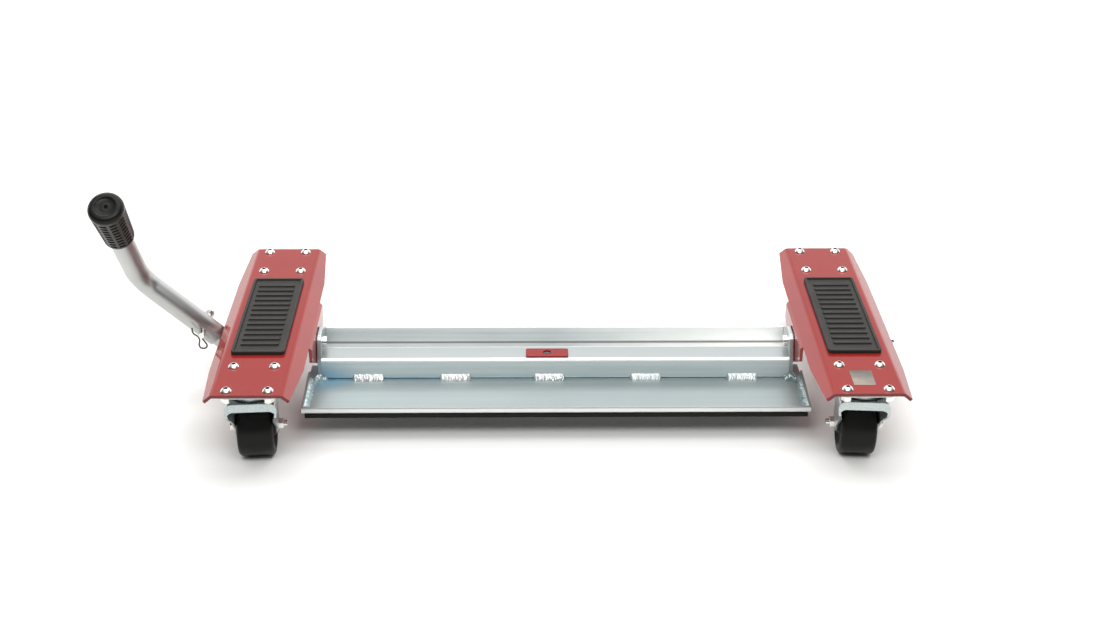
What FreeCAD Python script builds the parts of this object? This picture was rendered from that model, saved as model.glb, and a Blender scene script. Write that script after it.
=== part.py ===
import FreeCAD, Part
import os
import re
import Sketcher

# A motorcycle mover dolly: two pressed decks on swivel casters, and between them a welded cradle
# that tilts about a cross shaft when its bent lever is pushed.
# +X is to the right, +Y to the rear, +Z up. The floor is z = 0, and the origin is below the middle.

# Driving sizes in millimetres, degrees or pieces
SIZES = [
    ("wheel_diameter", 80, "caster wheel over its tread"),
    ("wheel_width", 46, "caster wheel across its tread"),
    ("wheel_shoulder", 5, "rounded shoulder of the tread"),
    ("wheel_recess", 4, "depth of the dished wheel side"),
    ("hub_diameter", 28, "boss in the dished wheel side"),
    ("hub_proud", 1, "boss beyond the tread on each side"),
    ("hub_play", 0.5, "gap between the boss and a fork leg"),
    ("wheel_bush_diameter", 12, "tube that the wheel turns on"),
    ("axle_diameter", 8, "axle bolt"),
    ("axle_flats", 13, "axle bolt head and nut across flats"),
    ("axle_nut", 6.5, "height of the axle nut and the bolt head"),
    ("axle_tail", 5, "bolt thread beyond its nut"),
    ("running_fit", 0.05, "radial clearance of a turning fit"),
    ("play", 0.3, "gap between faces that move past each other"),
    ("seat_gap", 0.1, "radial clearance of a bolt, pin or tube in its hole"),
    ("caster_height", 118, "floor to the top of the caster plate"),
    ("caster_trail", 26, "axle behind the swivel axis"),
    ("front_toe", 4, "front casters turned, in degrees"),
    ("plate_across", 67, "caster plate, left to right"),
    ("plate_along", 77, "caster plate, front to rear"),
    ("plate_sheet", 3.5, "caster plate thickness"),
    ("plate_corner", 8, "caster plate corner radius"),
    ("hole_across", 51.5, "screw spacing, left to right"),
    ("hole_along", 61.5, "screw spacing, front to rear"),
    ("race_diameter", 56, "upper ball race"),
    ("race_depth", 12, "upper ball race below the plate"),
    ("crown_gap", 10.6, "caster plate to the fork crown"),
    ("cup_wall", 2, "wall of the ball cup sunk in the crown"),
    ("cup_gap", 2.5, "radial gap between the cup and the upper race"),
    ("ball_diameter", 6, "bearing balls"),
    ("ball_ring", 44, "pitch circle of the balls"),
    ("ball_count", 16, "balls in each swivel"),
    ("kingpin_diameter", 12, "swivel rivet"),
    ("kingpin_head", 22, "swivel rivet head"),
    ("kingpin_head_height", 4, "swivel rivet head height"),
    ("fork_sheet", 3, "fork thickness"),
    ("fork_shoulder", 58, "fork inside width under the crown"),
    ("fork_shoulder_drop", 18, "straight fork side below the crown"),
    ("fork_draw", 15, "height over which the legs draw in"),
    ("leg_round", 35, "rounding of the drawn-in legs"),
    ("fork_corner", 9, "folded corner of the crown"),
    ("fork_reach", 33, "crown in front of the swivel axis"),
    ("fork_tail", 33, "crown behind the swivel axis"),
    ("fork_lip", 11.3, "turned-down front lip"),
    ("lip_corner", 9, "corner radius between the front lip and a leg"),
    ("fork_foot", 12, "leg below and beside the axle"),
    ("screw_diameter", 8, "deck screws"),
    ("screw_length", 16, "deck screws below the head"),
    ("screw_head", 14, "button head"),
    ("screw_head_height", 4.4, "button head"),
    ("screw_rim", 0.8, "straight rim of the button head"),
    ("screw_crown", 6.6, "flat on top of the button head"),
    ("screw_socket", 5, "hex socket across flats"),
    ("screw_socket_depth", 2.6, "hex socket"),
    ("screw_hole", 9, "holes for the deck screws"),
    ("nut_flats", 13, "deck nuts across flats"),
    ("nut_height", 6.5, "deck nuts"),
    ("deck_x", 383.7, "middle of a deck from the middle of the cradle"),
    ("deck_length", 420, "deck, front to rear"),
    ("deck_flat", 88, "flat top of a deck"),
    ("deck_sheet", 4, "deck plate"),
    ("flange_run", 16, "folded edge, measured level, at its widest"),
    ("flange_end_run", 9.5, "folded edge at the deck ends"),
    ("flange_straight", 250, "length over which the folded edge is widest"),
    ("flange_slope", 40, "fold angle in degrees"),
    ("bend_radius", 4, "inside radius of the folds"),
    ("swivel_inset", 42, "swivel axis from the end of the deck"),
    ("pivot_drop", 39, "shaft axis below the deck top"),
    ("tab_lead", 3.2, "pivot tab beyond the tip of the folded edge"),
    ("tab_width", 130, "pivot tab at the fold"),
    ("tab_bottom_width", 30, "pivot tab at its lower end"),
    ("tab_side", 22, "square side of the pivot tab below the fold"),
    ("tab_below", 25, "pivot tab below the shaft axis"),
    ("tab_corner", 12, "rounded lower corners of the tab and the bracket"),
    ("bracket_x", 417, "middle of the outer bracket from the middle of the cradle"),
    ("bracket_sheet", 6, "outer bracket"),
    ("bracket_width", 90, "outer bracket under the deck"),
    ("bush_diameter", 26, "shaft bush outside"),
    ("bush_collar", 32, "shaft bush collar"),
    ("collar_height", 2, "shaft bush collar"),
    ("pad_width", 69, "step pad"),
    ("pad_length", 213, "step pad"),
    ("pad_thick", 5, "step pad over its border"),
    ("pad_offset", 1, "step pad in front of the shaft axis"),
    ("pad_corner", 5, "step pad corner radius"),
    ("pad_border", 4, "raised border"),
    ("pad_relief", 2, "height of the border and the ribs"),
    ("rib_width", 5, "grip rib"),
    ("rib_margin", 6, "field between the border and the end of a rib"),
    ("rib_pitch", 14, "grip ribs"),
    ("rib_count", 13, "grip ribs"),
    ("shaft_diameter", 20, "pivot shaft"),
    ("shaft_past", 37, "free shaft end past the outer bracket"),
    ("arm_gap", 1, "gap between a cradle arm and the pivot tab"),
    ("arm_sheet", 5, "cradle arm"),
    ("arm_crown", 15, "arm above the shaft axis"),
    ("arm_round", 9, "rounded top corners of an arm"),
    ("tray_drop", 43, "tray floor below the shaft axis"),
    ("tray_sheet", 3, "tray and back angle thickness"),
    ("tray_front", 113, "front of the tray from the shaft axis"),
    ("tray_end", 13, "tray beyond a cradle arm"),
    ("tray_lip", 6, "folded front lip above the tray floor"),
    ("tray_bend", 2.4, "outside radius of the front fold"),
    ("end_plate_height", 12, "tray end plate at the rear"),
    ("tube_side", 30, "cross tube, upright"),
    ("tube_depth", 38, "cross tube, front to rear"),
    ("tube_wall", 2.5, "cross tube wall"),
    ("tube_corner", 4, "cross tube corner radius"),
    ("tube_behind", 11, "tube face behind the shaft axis"),
    ("ledge_rise", 17, "ledge of the back angle above the tray floor"),
    ("back_wall", 26, "height of the back angle"),
    ("back_reach", 42, "rear face of the back angle from the shaft axis"),
    ("back_bend", 4.5, "outside radius of the back angle"),
    ("weld_length", 43, "stitch weld"),
    ("weld_leg", 8, "stitch weld, tube to bead edge"),
    ("weld_far_left", -252, "middle of a stitch weld from the middle of the cradle"),
    ("weld_left", -135, "middle of a stitch weld"),
    ("weld_middle", -9, "middle of a stitch weld"),
    ("weld_right", 121, "middle of a stitch weld"),
    ("weld_far_right", 252, "middle of a stitch weld"),
    ("anchor_length", 57, "anchor tab"),
    ("anchor_width", 21, "anchor tab"),
    ("anchor_sheet", 2.5, "anchor tab"),
    ("anchor_x", -11.6, "middle of the anchor tab"),
    ("anchor_back", 15, "middle of the anchor tab behind the front of the tube"),
    ("anchor_hole", 11, "anchor hole"),
    ("mat_thick", 5, "rubber under the tray"),
    ("mat_proud", 1.5, "rubber in front of the tray lip"),
    ("mat_depth", 110, "rubber, front to rear"),
    ("mat_short", 4, "rubber short of each tray end"),
    ("pivot_screw_head", 15, "screw that holds an arm to its shaft"),
    ("pivot_screw_head_height", 6, "screw that holds an arm to its shaft"),
    ("pivot_screw_diameter", 10, "screw that holds an arm to its shaft"),
    ("pivot_screw_grip", 22, "screw inside the shaft"),
    ("lever_root", 444, "foot of the lever from the middle of the cradle"),
    ("lever_lean", 42.5, "first stretch above level, outwards"),
    ("lever_rake", 37.8, "second stretch away from upright, forwards"),
    ("lever_first", 144, "foot to the bend corner"),
    ("lever_second", 190, "bend corner to the end of the tube"),
    ("lever_bend", 45, "bend radius on the tube axis"),
    ("lever_diameter", 30, "lever tube"),
    ("lever_wall", 2.5, "lever tube wall"),
    ("lever_foot", 14, "end of the lever tube from the shaft axis, along the lever"),
    ("stub_below", 10, "stub inside the lever, below the shaft axis"),
    ("stub_length", 60, "stub inside the lever, above the shaft axis"),
    ("lock_at", 36, "lock pin above the shaft axis, along the lever"),
    ("lock_diameter", 8, "lock pin"),
    ("lock_front", 28, "lock pin in front of the lever axis"),
    ("lock_rear", 34, "lock pin behind the lever axis"),
    ("lock_head", 13, "lock pin head"),
    ("lock_head_height", 3, "lock pin head"),
    ("clip_wire", 2, "hairpin clip wire"),
    ("clip_above", 9, "hairpin leg above the lock pin"),
    ("clip_below", 15, "hairpin leg below the lock pin"),
    ("clip_span", 10, "between the hairpin legs"),
    ("clip_edge", 5, "hairpin hole from the tip of the lock pin"),
    ("grip_length", 78, "hand grip"),
    ("grip_diameter", 39, "hand grip at its open end"),
    ("grip_end", 45, "hand grip at its closed end"),
    ("grip_cap", 7, "closed end past the lever tube"),
    ("grip_round", 5, "rounded rim of the closed end"),
    ("grip_dimple", 6, "hole in the closed end"),
]
NUMBERS = {alias: number for alias, number, meaning in SIZES}

# Heights and places that follow from the driving sizes
DERIVED = {
    "deck_top": "caster_height + deck_sheet",
    "pivot_z": "deck_top - pivot_drop",
    "axle_z": "wheel_diameter / 2",
    "flange_drop": "flange_run * tan(flange_slope)",
    "tab_u": "deck_flat / 2 + flange_run + tab_lead",
    "tab_x": "deck_x - tab_u",
    "arm_x": "tab_x - arm_gap - arm_sheet / 2",
    "tube_half": "tab_x - arm_gap - arm_sheet",
    "tray_half": "tab_x - arm_gap + tray_end",
    "floor_z": "pivot_z - tray_drop",
    "tube_front": "tube_depth - tube_behind",
    "tube_top": "floor_z + tube_side",
    "ledge_z": "floor_z + ledge_rise",
    "race_z": "caster_height - plate_sheet - race_depth",
    "crown_z": "caster_height - plate_sheet - crown_gap",
    "cup_z": "race_z - play * 2 - ball_diameter",
    "hub_width": "wheel_width + hub_proud * 2",
    "fork_inside": "hub_width + hub_play * 2",
    "swivel_y": "deck_length / 2 - swivel_inset",
    "shaft_reach": "bracket_x + bracket_sheet / 2 + shaft_past",
    "dome_rise": "screw_head_height - screw_rim",
    "dome_drop": "(screw_head * screw_head - screw_crown * screw_crown) / 8 / dome_rise",
    "dome_z": "(screw_head_height + screw_rim) / 2 - dome_drop",
    "dome_radius": "sqrt(screw_head * screw_head / 4 + (screw_rim - dome_z) * (screw_rim - dome_z))",
    "bend_angle": "acos(sin(lever_lean) * cos(lever_rake))",
    "bend_tangent": "lever_bend * tan(bend_angle / 2)",
    "left_reach": "lever_root + lever_first * cos(lever_lean) + grip_end / 2",
    "rear_reach": "swivel_y + caster_trail + wheel_diameter / 2",
    "shift_x": "(left_reach - shaft_reach) / 2",
    "shift_y": "(deck_length / 2 - rear_reach) / 2",
}

doc = FreeCAD.newDocument("mover_dolly")
sheet = doc.addObject("Spreadsheet::Sheet", "sizes")
for row, (alias, number, meaning) in enumerate(SIZES, start=1):
    sheet.set(f"A{row}", meaning)
    sheet.set(f"B{row}", str(number))
    sheet.setAlias(f"B{row}", alias)
doc.recompute()

nodes = []
NO_ARCS = {}


# Sizes and expressions
def bind(text):
    """Turn size names into references to the sheet, with the derived names written out."""

    def swap(match):
        word = match.group()
        if word in NUMBERS:
            return "sizes." + word
        if word in DERIVED:
            return "(" + bind(DERIVED[word]) + ")"
        return word

    return re.sub(r"[a-z][a-z_]*", swap, str(text))


def size(text):
    """The number that an expression of size names gives."""
    result = sheet.evalExpression(bind(text))
    return float(getattr(result, "Value", result))


def tie(thing, **settings):
    """Bind properties of a document object to expressions of size names."""
    for name, text in settings.items():
        thing.setExpression(name, bind(text))
    return thing


def place(thing, x="0", y="0", z="0"):
    """Bind the position of a document object."""
    for axis, text in (("x", x), ("y", y), ("z", z)):
        thing.setExpression(f"Placement.Base.{axis}", bind(text))
    return thing


def keep(thing, label):
    """Name a finished piece and list it for writing."""
    thing.Label = label
    nodes.append(thing)
    return thing


# Bodies, sketches and features
def new_body(name, x="shift_x", y="shift_y", z="0"):
    return place(doc.addObject("PartDesign::Body", name), x, y, z)


def new_sketch(body, role, lift="0"):
    """A sketch on one of the body's own planes, lifted along the plane's normal."""
    plane = [feature for feature in body.Origin.OriginFeatures if feature.Role == role][0]
    sketch = body.newObject("Sketcher::SketchObject", body.Name + "_sketch")
    sketch.AttachmentSupport = [(plane, "")]
    sketch.MapMode = "FlatFace"
    sketch.setExpression("AttachmentOffset.Base.z", bind(lift))
    return sketch


def pin_point(sketch, geometry, end, point):
    """Hold one end of a sketch line, or a circle's middle, at bound coordinates."""
    for kind, text in zip(("DistanceX", "DistanceY"), point):
        index = sketch.addConstraint(Sketcher.Constraint(kind, -1, 1, geometry, end, size(text)))
        sketch.setExpression(f"Constraints[{index}]", bind(text))


def spot(point):
    return FreeCAD.Vector(size(point[0]), size(point[1]), 0)


def add_arc(sketch, start, finish, middle, radius):
    """An arc about a middle point, the short way from start to finish."""
    halfway = (spot(start) + spot(finish)) / 2 - spot(middle)
    halfway.Length = size(radius)
    index = sketch.addGeometry(Part.Arc(spot(start), spot(middle) + halfway, spot(finish)))
    datum = sketch.addConstraint(Sketcher.Constraint("Radius", index, size(radius)))
    sketch.setExpression(f"Constraints[{datum}]", bind(radius))


def add_polygon(sketch, points, arcs=NO_ARCS):
    """A closed outline with bound corners. arcs gives the middle and radius of its round stretches."""
    first = sketch.GeometryCount
    ends = []
    for index, (start, finish) in enumerate(zip(points, points[1:] + points[:1])):
        if index in arcs:
            add_arc(sketch, start, finish, *arcs[index])
        else:
            sketch.addGeometry(Part.LineSegment(spot(start), spot(finish)))
        forward = sketch.getPoint(first + index, 1).isEqual(spot(start), 0.001)
        ends.append((1, 2) if forward else (2, 1))
    for index, point in enumerate(points):
        following = (index + 1) % len(points)
        sketch.addConstraint(Sketcher.Constraint(
            "Coincident", first + index, ends[index][1], first + following, ends[following][0]))
        pin_point(sketch, first + index, ends[index][0], point)


def polygon(body, role, points, lift="0", arcs=NO_ARCS):
    sketch = new_sketch(body, role, lift)
    add_polygon(sketch, points, arcs)
    return sketch


def rectangle(body, role, across, along, middle=("0", "0"), lift="0"):
    """A rectangle about a middle point."""
    corners = [
        (f"{middle[0]} + {i} * ({across}) / 2", f"{middle[1]} + {j} * ({along}) / 2")
        for i, j in ((-1, -1), (1, -1), (1, 1), (-1, 1))
    ]
    return polygon(body, role, corners, lift)


def circles(body, role, rounds, lift="0"):
    """Circles given as middle, middle and radius."""
    sketch = new_sketch(body, role, lift)
    for across, up, radius in rounds:
        circle = Part.Circle(spot((across, up)), FreeCAD.Vector(0, 0, 1), size(radius))
        index = sketch.addGeometry(circle)
        pin_point(sketch, index, 3, (across, up))
        datum = sketch.addConstraint(Sketcher.Constraint("Radius", index, size(radius)))
        sketch.setExpression(f"Constraints[{datum}]", bind(radius))
    return sketch


def pad(body, sketch, length, centred=False, reverse=False):
    feature = body.newObject("PartDesign::Pad", body.Name + "_pad")
    feature.Profile = sketch
    tie(feature, Length=length)
    feature.Midplane = centred
    feature.Reversed = reverse
    doc.recompute()
    return feature


def cut_through(body, sketch):
    """A pocket through the whole body, both ways."""
    before = body.Shape.Volume
    feature = body.newObject("PartDesign::Pocket", body.Name + "_cut")
    feature.Profile = sketch
    feature.Type = "ThroughAll"
    feature.Midplane = True
    doc.recompute()
    if not body.Shape.Volume < before:
        raise ValueError(f"{body.Name}: a cut removes nothing")
    return feature


def cut_depth(body, sketch, depth):
    """A blind pocket, down from its sketch."""
    before = body.Shape.Volume
    feature = body.newObject("PartDesign::Pocket", body.Name + "_recess")
    feature.Profile = sketch
    tie(feature, Length=depth)
    doc.recompute()
    if not body.Shape.Volume < before:
        raise ValueError(f"{body.Name}: a recess removes nothing")
    return feature


def turn(body, sketch, axis):
    """A full turn of a sketch about its own H_Axis or V_Axis."""
    feature = body.newObject("PartDesign::Revolution", body.Name + "_turn")
    feature.Profile = sketch
    feature.ReferenceAxis = (sketch, [axis])
    feature.Angle = 360
    doc.recompute()
    return feature


def round_edges(body, radius, wanted):
    """Fillet the edges of the body's last feature for which wanted(edge) is true."""
    base = body.Tip
    names = [f"Edge{n}" for n, edge in enumerate(base.Shape.Edges, start=1) if wanted(edge)]
    if not names:
        raise ValueError(f"{body.Name}: no edge to round")
    feature = body.newObject("PartDesign::Fillet", body.Name + "_round")
    feature.Base = (base, names)
    tie(feature, Radius=radius)
    doc.recompute()
    return feature


def runs_along(edge, axis):
    """Whether an edge is a straight line along X (0), Y (1) or Z (2)."""
    if not isinstance(edge.Curve, Part.Line):
        return False
    return abs(edge.Curve.Direction[axis]) > 0.999


def near(value, text):
    return abs(value - size(text)) < 0.01


# Part primitives
TURN_TO_X = FreeCAD.Rotation(FreeCAD.Vector(0, 1, 0), 90)
TURN_TO_Y = FreeCAD.Rotation(FreeCAD.Vector(1, 0, 0), -90)
UPRIGHT = FreeCAD.Rotation()


def bar(name, radius, length, x, y, z, turned=UPRIGHT):
    """A round bar from its start point, upright or turned."""
    piece = doc.addObject("Part::Cylinder", name)
    tie(piece, Radius=radius, Height=length)
    piece.Placement.Rotation = turned
    return place(piece, x, y, z)


def hex_bar(name, flats, length, x, y, z, turned=UPRIGHT):
    """A six-sided bar given across its flats."""
    piece = doc.addObject("Part::Prism", name)
    piece.Polygon = 6
    tie(piece, Circumradius=f"({flats}) / 2 / cos(30)", Height=length)
    piece.Placement.Rotation = turned
    return place(piece, x, y, z)


def fuse(name, *pieces):
    whole = doc.addObject("Part::MultiFuse", name)
    whole.Shapes = list(pieces)
    return whole


def cut(name, base, *tools):
    whole = doc.addObject("Part::Cut", name)
    whole.Base = base
    whole.Tool = tools[0] if len(tools) == 1 else fuse(name + "_tools", *tools)
    return whole


def group(name, *pieces):
    """Separate solids kept together under one name."""
    whole = doc.addObject("Part::Compound", name)
    whole.Links = list(pieces)
    return whole


def copies(name, model, places, turned="0"):
    """Separate copies of a model piece, each at its own bound place and turned about an upright line."""
    links = []
    for index, point in enumerate(places):
        link = doc.addObject("App::Link", f"{name}_{index}")
        link.LinkedObject = model
        link.Placement.Rotation = FreeCAD.Rotation(FreeCAD.Vector(0, 0, 1), 1)
        link.setExpression("Placement.Rotation.Angle", bind(turned))
        links.append(place(link, *point))
    return group(name, *links)


# Deck with its pivot tab
def hole_places():
    """Middle of each deck screw, from the middle of the deck."""
    return [
        (f"{i} * hole_across / 2", f"{end} * swivel_y + {j} * hole_along / 2")
        for end in (-1, 1)
        for j in (-1, 1)
        for i in (-1, 1)
    ]


def make_deck(side, sign):
    """One pressed plate: a flat top, two folded edges and a tab folded down from the inner edge."""
    body = new_body(f"{side}_deck", f"shift_x + {sign} * deck_x")
    half = "deck_flat / 2"
    inner_fold = "(deck_flat / 2 - deck_sheet * tan(flange_slope / 2))"
    tip = "(deck_flat / 2 + flange_run)"
    tip_under = "(deck_flat / 2 + flange_run - deck_sheet * sin(flange_slope))"
    under_z = "(deck_top - flange_drop - deck_sheet * cos(flange_slope))"
    section = [
        (f"-{tip}", "deck_top - flange_drop"),
        (f"-{half}", "deck_top"),
        (half, "deck_top"),
        (tip, "deck_top - flange_drop"),
        (tip_under, under_z),
        (inner_fold, "deck_top - deck_sheet"),
        (f"-{inner_fold}", "deck_top - deck_sheet"),
        (f"-{tip_under}", under_z),
    ]
    pad(body, polygon(body, "XZ_Plane", section), "deck_length", centred=True)

    def on_fold(edge, text, height):
        point = edge.CenterOfMass
        return runs_along(edge, 1) and near(abs(point.x), text) and near(point.z, height)

    round_edges(body, "bend_radius + deck_sheet", lambda edge: on_fold(edge, half, "deck_top"))
    round_edges(body, "bend_radius", lambda edge: on_fold(edge, inner_fold, "deck_top - deck_sheet"))

    inward = -sign
    tab = [
        (f"{inward} * {tip_under}", under_z),
        (f"{inward} * {tip}", "deck_top - flange_drop"),
        (f"{inward} * tab_u", "deck_top - flange_drop - tab_lead"),
        (f"{inward} * tab_u", "pivot_z - tab_below"),
        (f"{inward} * (tab_u - deck_sheet)", "pivot_z - tab_below"),
        (f"{inward} * (tab_u - deck_sheet)",
         f"{under_z} - (tab_u - deck_sheet - {tip_under}) * tan(flange_slope)"),
    ]
    pad(body, polygon(body, "XZ_Plane", tab), "tab_width", centred=True)

    corners = new_sketch(body, "YZ_Plane")
    for end in (-1, 1):
        add_polygon(corners, [
            (f"{end} * tab_width / 2", "deck_top - flange_drop - tab_side"),
            (f"{end} * tab_bottom_width / 2", "pivot_z - tab_below"),
            (f"{end} * tab_bottom_width / 2", "pivot_z - tab_below - tab_side"),
            (f"{end} * (tab_width / 2 + tab_side)", "pivot_z - tab_below - tab_side"),
            (f"{end} * (tab_width / 2 + tab_side)", "deck_top - flange_drop - tab_side"),
        ])
    cut_through(body, corners)

    def lower_corner(edge):
        point = edge.CenterOfMass
        at_side = near(abs(point.y), "tab_bottom_width / 2")
        return runs_along(edge, 0) and at_side and near(point.z, "pivot_z - tab_below")

    round_edges(body, "tab_corner", lower_corner)
    cut_through(body, circles(body, "YZ_Plane", [("0", "pivot_z", "bush_diameter / 2")]))

    for i in (-1, 1):
        tapers = new_sketch(body, "XY_Plane", "deck_top")
        tilt = FreeCAD.Rotation(FreeCAD.Vector(0, i, 0), 1)
        tapers.AttachmentOffset = FreeCAD.Placement(FreeCAD.Vector(), tilt)
        tapers.setExpression("AttachmentOffset.Rotation.Angle", bind("flange_slope"))
        tapers.setExpression("AttachmentOffset.Base.x", bind(f"{i} * {half}"))
        full = f"{i} * flange_run / cos(flange_slope)"
        short = f"{i} * flange_end_run / cos(flange_slope)"
        for j in (-1, 1):
            add_polygon(tapers, [
                (full, f"{j} * flange_straight / 2"),
                (short, f"{j} * deck_length / 2"),
                (short, f"{j} * (deck_length / 2 + flange_run)"),
                (f"{full} * 2", f"{j} * (deck_length / 2 + flange_run)"),
                (f"{full} * 2", f"{j} * flange_straight / 2"),
            ])
        cut_through(body, tapers)

    holes = [(across, along, "screw_hole / 2") for across, along in hole_places()]
    cut_through(body, circles(body, "XY_Plane", holes))
    return keep(body, f"{side}_deck")


def make_outer_bracket(side, sign):
    """Plate welded under the deck that carries the outer bush."""
    body = new_body(f"{side}_outer_bracket", f"shift_x + {sign} * bracket_x")
    outline = [
        ("-bracket_width / 2", "caster_height"),
        ("-bracket_width / 2", "caster_height - tab_corner"),
        ("-tab_bottom_width / 2", "pivot_z - tab_below"),
        ("tab_bottom_width / 2", "pivot_z - tab_below"),
        ("bracket_width / 2", "caster_height - tab_corner"),
        ("bracket_width / 2", "caster_height"),
    ]
    pad(body, polygon(body, "YZ_Plane", outline), "bracket_sheet", centred=True)

    def lower_corner(edge):
        return runs_along(edge, 0) and near(edge.CenterOfMass.z, "pivot_z - tab_below")

    round_edges(body, "tab_corner", lower_corner)
    cut_through(body, circles(body, "YZ_Plane", [("0", "pivot_z", "bush_diameter / 2")]))
    return keep(body, f"{side}_outer_bracket")


def make_bush(name, sign, sleeve, sleeve_length, collar):
    """A collared bush on the shaft axis: sleeve and collar start at these distances from the middle."""
    flip = -1 if sign < 0 else 0
    parts = []
    for kind, start, length, radius in (
        ("sleeve", sleeve, sleeve_length, "bush_diameter / 2"),
        ("collar", collar, "collar_height", "bush_collar / 2"),
    ):
        x = f"shift_x + {sign} * ({start}) + {flip} * ({length})"
        parts.append(bar(f"{name}_{kind}", radius, length, x, "shift_y", "pivot_z", TURN_TO_X))
    bore_length = f"({sleeve_length}) + collar_height * 4"
    x = f"shift_x + {sign} * (({sleeve}) - collar_height * 2) + {flip} * ({bore_length})"
    bore = bar(f"{name}_bore", "shaft_diameter / 2 + running_fit", bore_length, x,
               "shift_y", "pivot_z", TURN_TO_X)
    return cut(name, fuse(f"{name}_blank", *parts), bore)


def make_bushes(side, sign):
    inner = make_bush(f"{side}_inner_bush", sign, "tab_x", "deck_sheet", "tab_x + deck_sheet")
    outer = make_bush(f"{side}_outer_bush", sign, "bracket_x - bracket_sheet / 2", "bracket_sheet",
                      "bracket_x - bracket_sheet / 2 - collar_height")
    return keep(group(f"{side}_bush_pair", inner, outer), f"{side}_bushes")


def make_step_pad(side, sign):
    """A rubber mat with a raised border and plain cross ribs."""
    body = new_body(f"{side}_step_pad", f"shift_x + {sign} * deck_x", "shift_y - pad_offset", "deck_top")
    pad(body, rectangle(body, "XY_Plane", "pad_width", "pad_length"), "pad_thick")
    round_edges(body, "pad_corner", lambda edge: runs_along(edge, 2))
    field = rectangle(body, "XY_Plane", "pad_width - pad_border * 2", "pad_length - pad_border * 2",
                      lift="pad_thick")
    cut_depth(body, field, "pad_relief")
    ribs = rectangle(body, "XY_Plane", "pad_width - pad_border * 2 - rib_margin * 2", "rib_width",
                     ("0", "-(rib_count - 1) * rib_pitch / 2"), "pad_thick - pad_relief")
    first = pad(body, ribs, "pad_relief")
    row = body.newObject("PartDesign::LinearPattern", body.Name + "_row")
    row.Originals = [first]
    row.Direction = (ribs, ["V_Axis"])
    tie(row, Length="(rib_count - 1) * rib_pitch", Occurrences="rib_count")
    body.Tip = row
    doc.recompute()
    return keep(body, f"{side}_step_pad")


def make_screw_model():
    """A button-head screw with a hex socket, its head seated at z = 0."""
    body = new_body("screw_model", "0", "0")
    head = "screw_head / 2"
    section = [
        ("0", "-screw_length"),
        ("screw_diameter / 2", "-screw_length"),
        ("screw_diameter / 2", "0"),
        (head, "0"),
        (head, "screw_rim"),
        ("screw_crown / 2", "screw_head_height"),
        ("0", "screw_head_height"),
    ]
    dome = {4: (("0", "dome_z"), "dome_radius")}
    turn(body, polygon(body, "XZ_Plane", section, arcs=dome), "V_Axis")
    corner = "(screw_socket / 2 / cos(30))"
    hexagon = [(f"{corner} * cos({angle})", f"{corner} * sin({angle})") for angle in range(0, 360, 60)]
    socket = polygon(body, "XY_Plane", hexagon, "screw_head_height")
    cut_depth(body, socket, "screw_socket_depth")
    return body


def make_nut_model():
    """A plain hex nut that hangs down from z = 0."""
    blank = hex_bar("nut_blank", "nut_flats", "nut_height", "0", "0", "-nut_height")
    bore = bar("nut_bore", "screw_diameter / 2 + seat_gap", "nut_height * 2", "0", "0", "-nut_height * 1.5")
    return cut("nut_model", blank, bore)


def make_fasteners(side, sign, screw, nut):
    places = [
        (f"shift_x + {sign} * deck_x + {across}", f"shift_y + {along}")
        for across, along in hole_places()
    ]
    heads = [(x, y, "deck_top") for x, y in places]
    seats = [(x, y, "caster_height - plate_sheet") for x, y in places]
    keep(copies(f"{side}_screw_set", screw, heads), f"{side}_deck_screws")
    keep(copies(f"{side}_nut_set", nut, seats), f"{side}_deck_nuts")


# Casters
def make_caster_plate(name, x, y):
    """Top plate with the upper ball race pressed below it."""
    body = new_body(f"{name}_plate", x, y)
    plate = rectangle(body, "XY_Plane", "plate_across", "plate_along", lift="caster_height - plate_sheet")
    pad(body, plate, "plate_sheet")
    round_edges(body, "plate_corner", lambda edge: runs_along(edge, 2))
    race = circles(body, "XY_Plane", [("0", "0", "race_diameter / 2")], "race_z")
    pad(body, race, "race_depth")
    holes = [("0", "0", "kingpin_diameter / 2")]
    for i in (-1, 1):
        for j in (-1, 1):
            holes.append((f"{i} * hole_across / 2", f"{j} * hole_along / 2", "screw_hole / 2"))
    cut_through(body, circles(body, "XY_Plane", holes))
    return keep(body, f"{name}_caster_plate")


def make_kingpin(name, x, y):
    """Rivet that hangs the fork from the plate."""
    head_z = "cup_z - fork_sheet - play - kingpin_head_height"
    shank = bar(f"{name}_pin_shank", "kingpin_diameter / 2", f"caster_height - ({head_z})", x, y, head_z)
    head = bar(f"{name}_pin_head", "kingpin_head / 2", "kingpin_head_height", x, y, head_z)
    return keep(fuse(f"{name}_pin", shank, head), f"{name}_kingpin")


def make_ball_model():
    """The ring of bearing balls about a swivel axis at the origin."""
    ball = doc.addObject("Part::Sphere", "ball")
    tie(ball, Radius="ball_diameter / 2")
    places = []
    for index in range(int(NUMBERS["ball_count"])):
        angle = f"360 * {index} / ball_count"
        places.append((
            f"ball_ring / 2 * cos({angle})",
            f"ball_ring / 2 * sin({angle})",
            "race_z - play - ball_diameter / 2",
        ))
    return copies("ball_model", ball, places)


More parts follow.
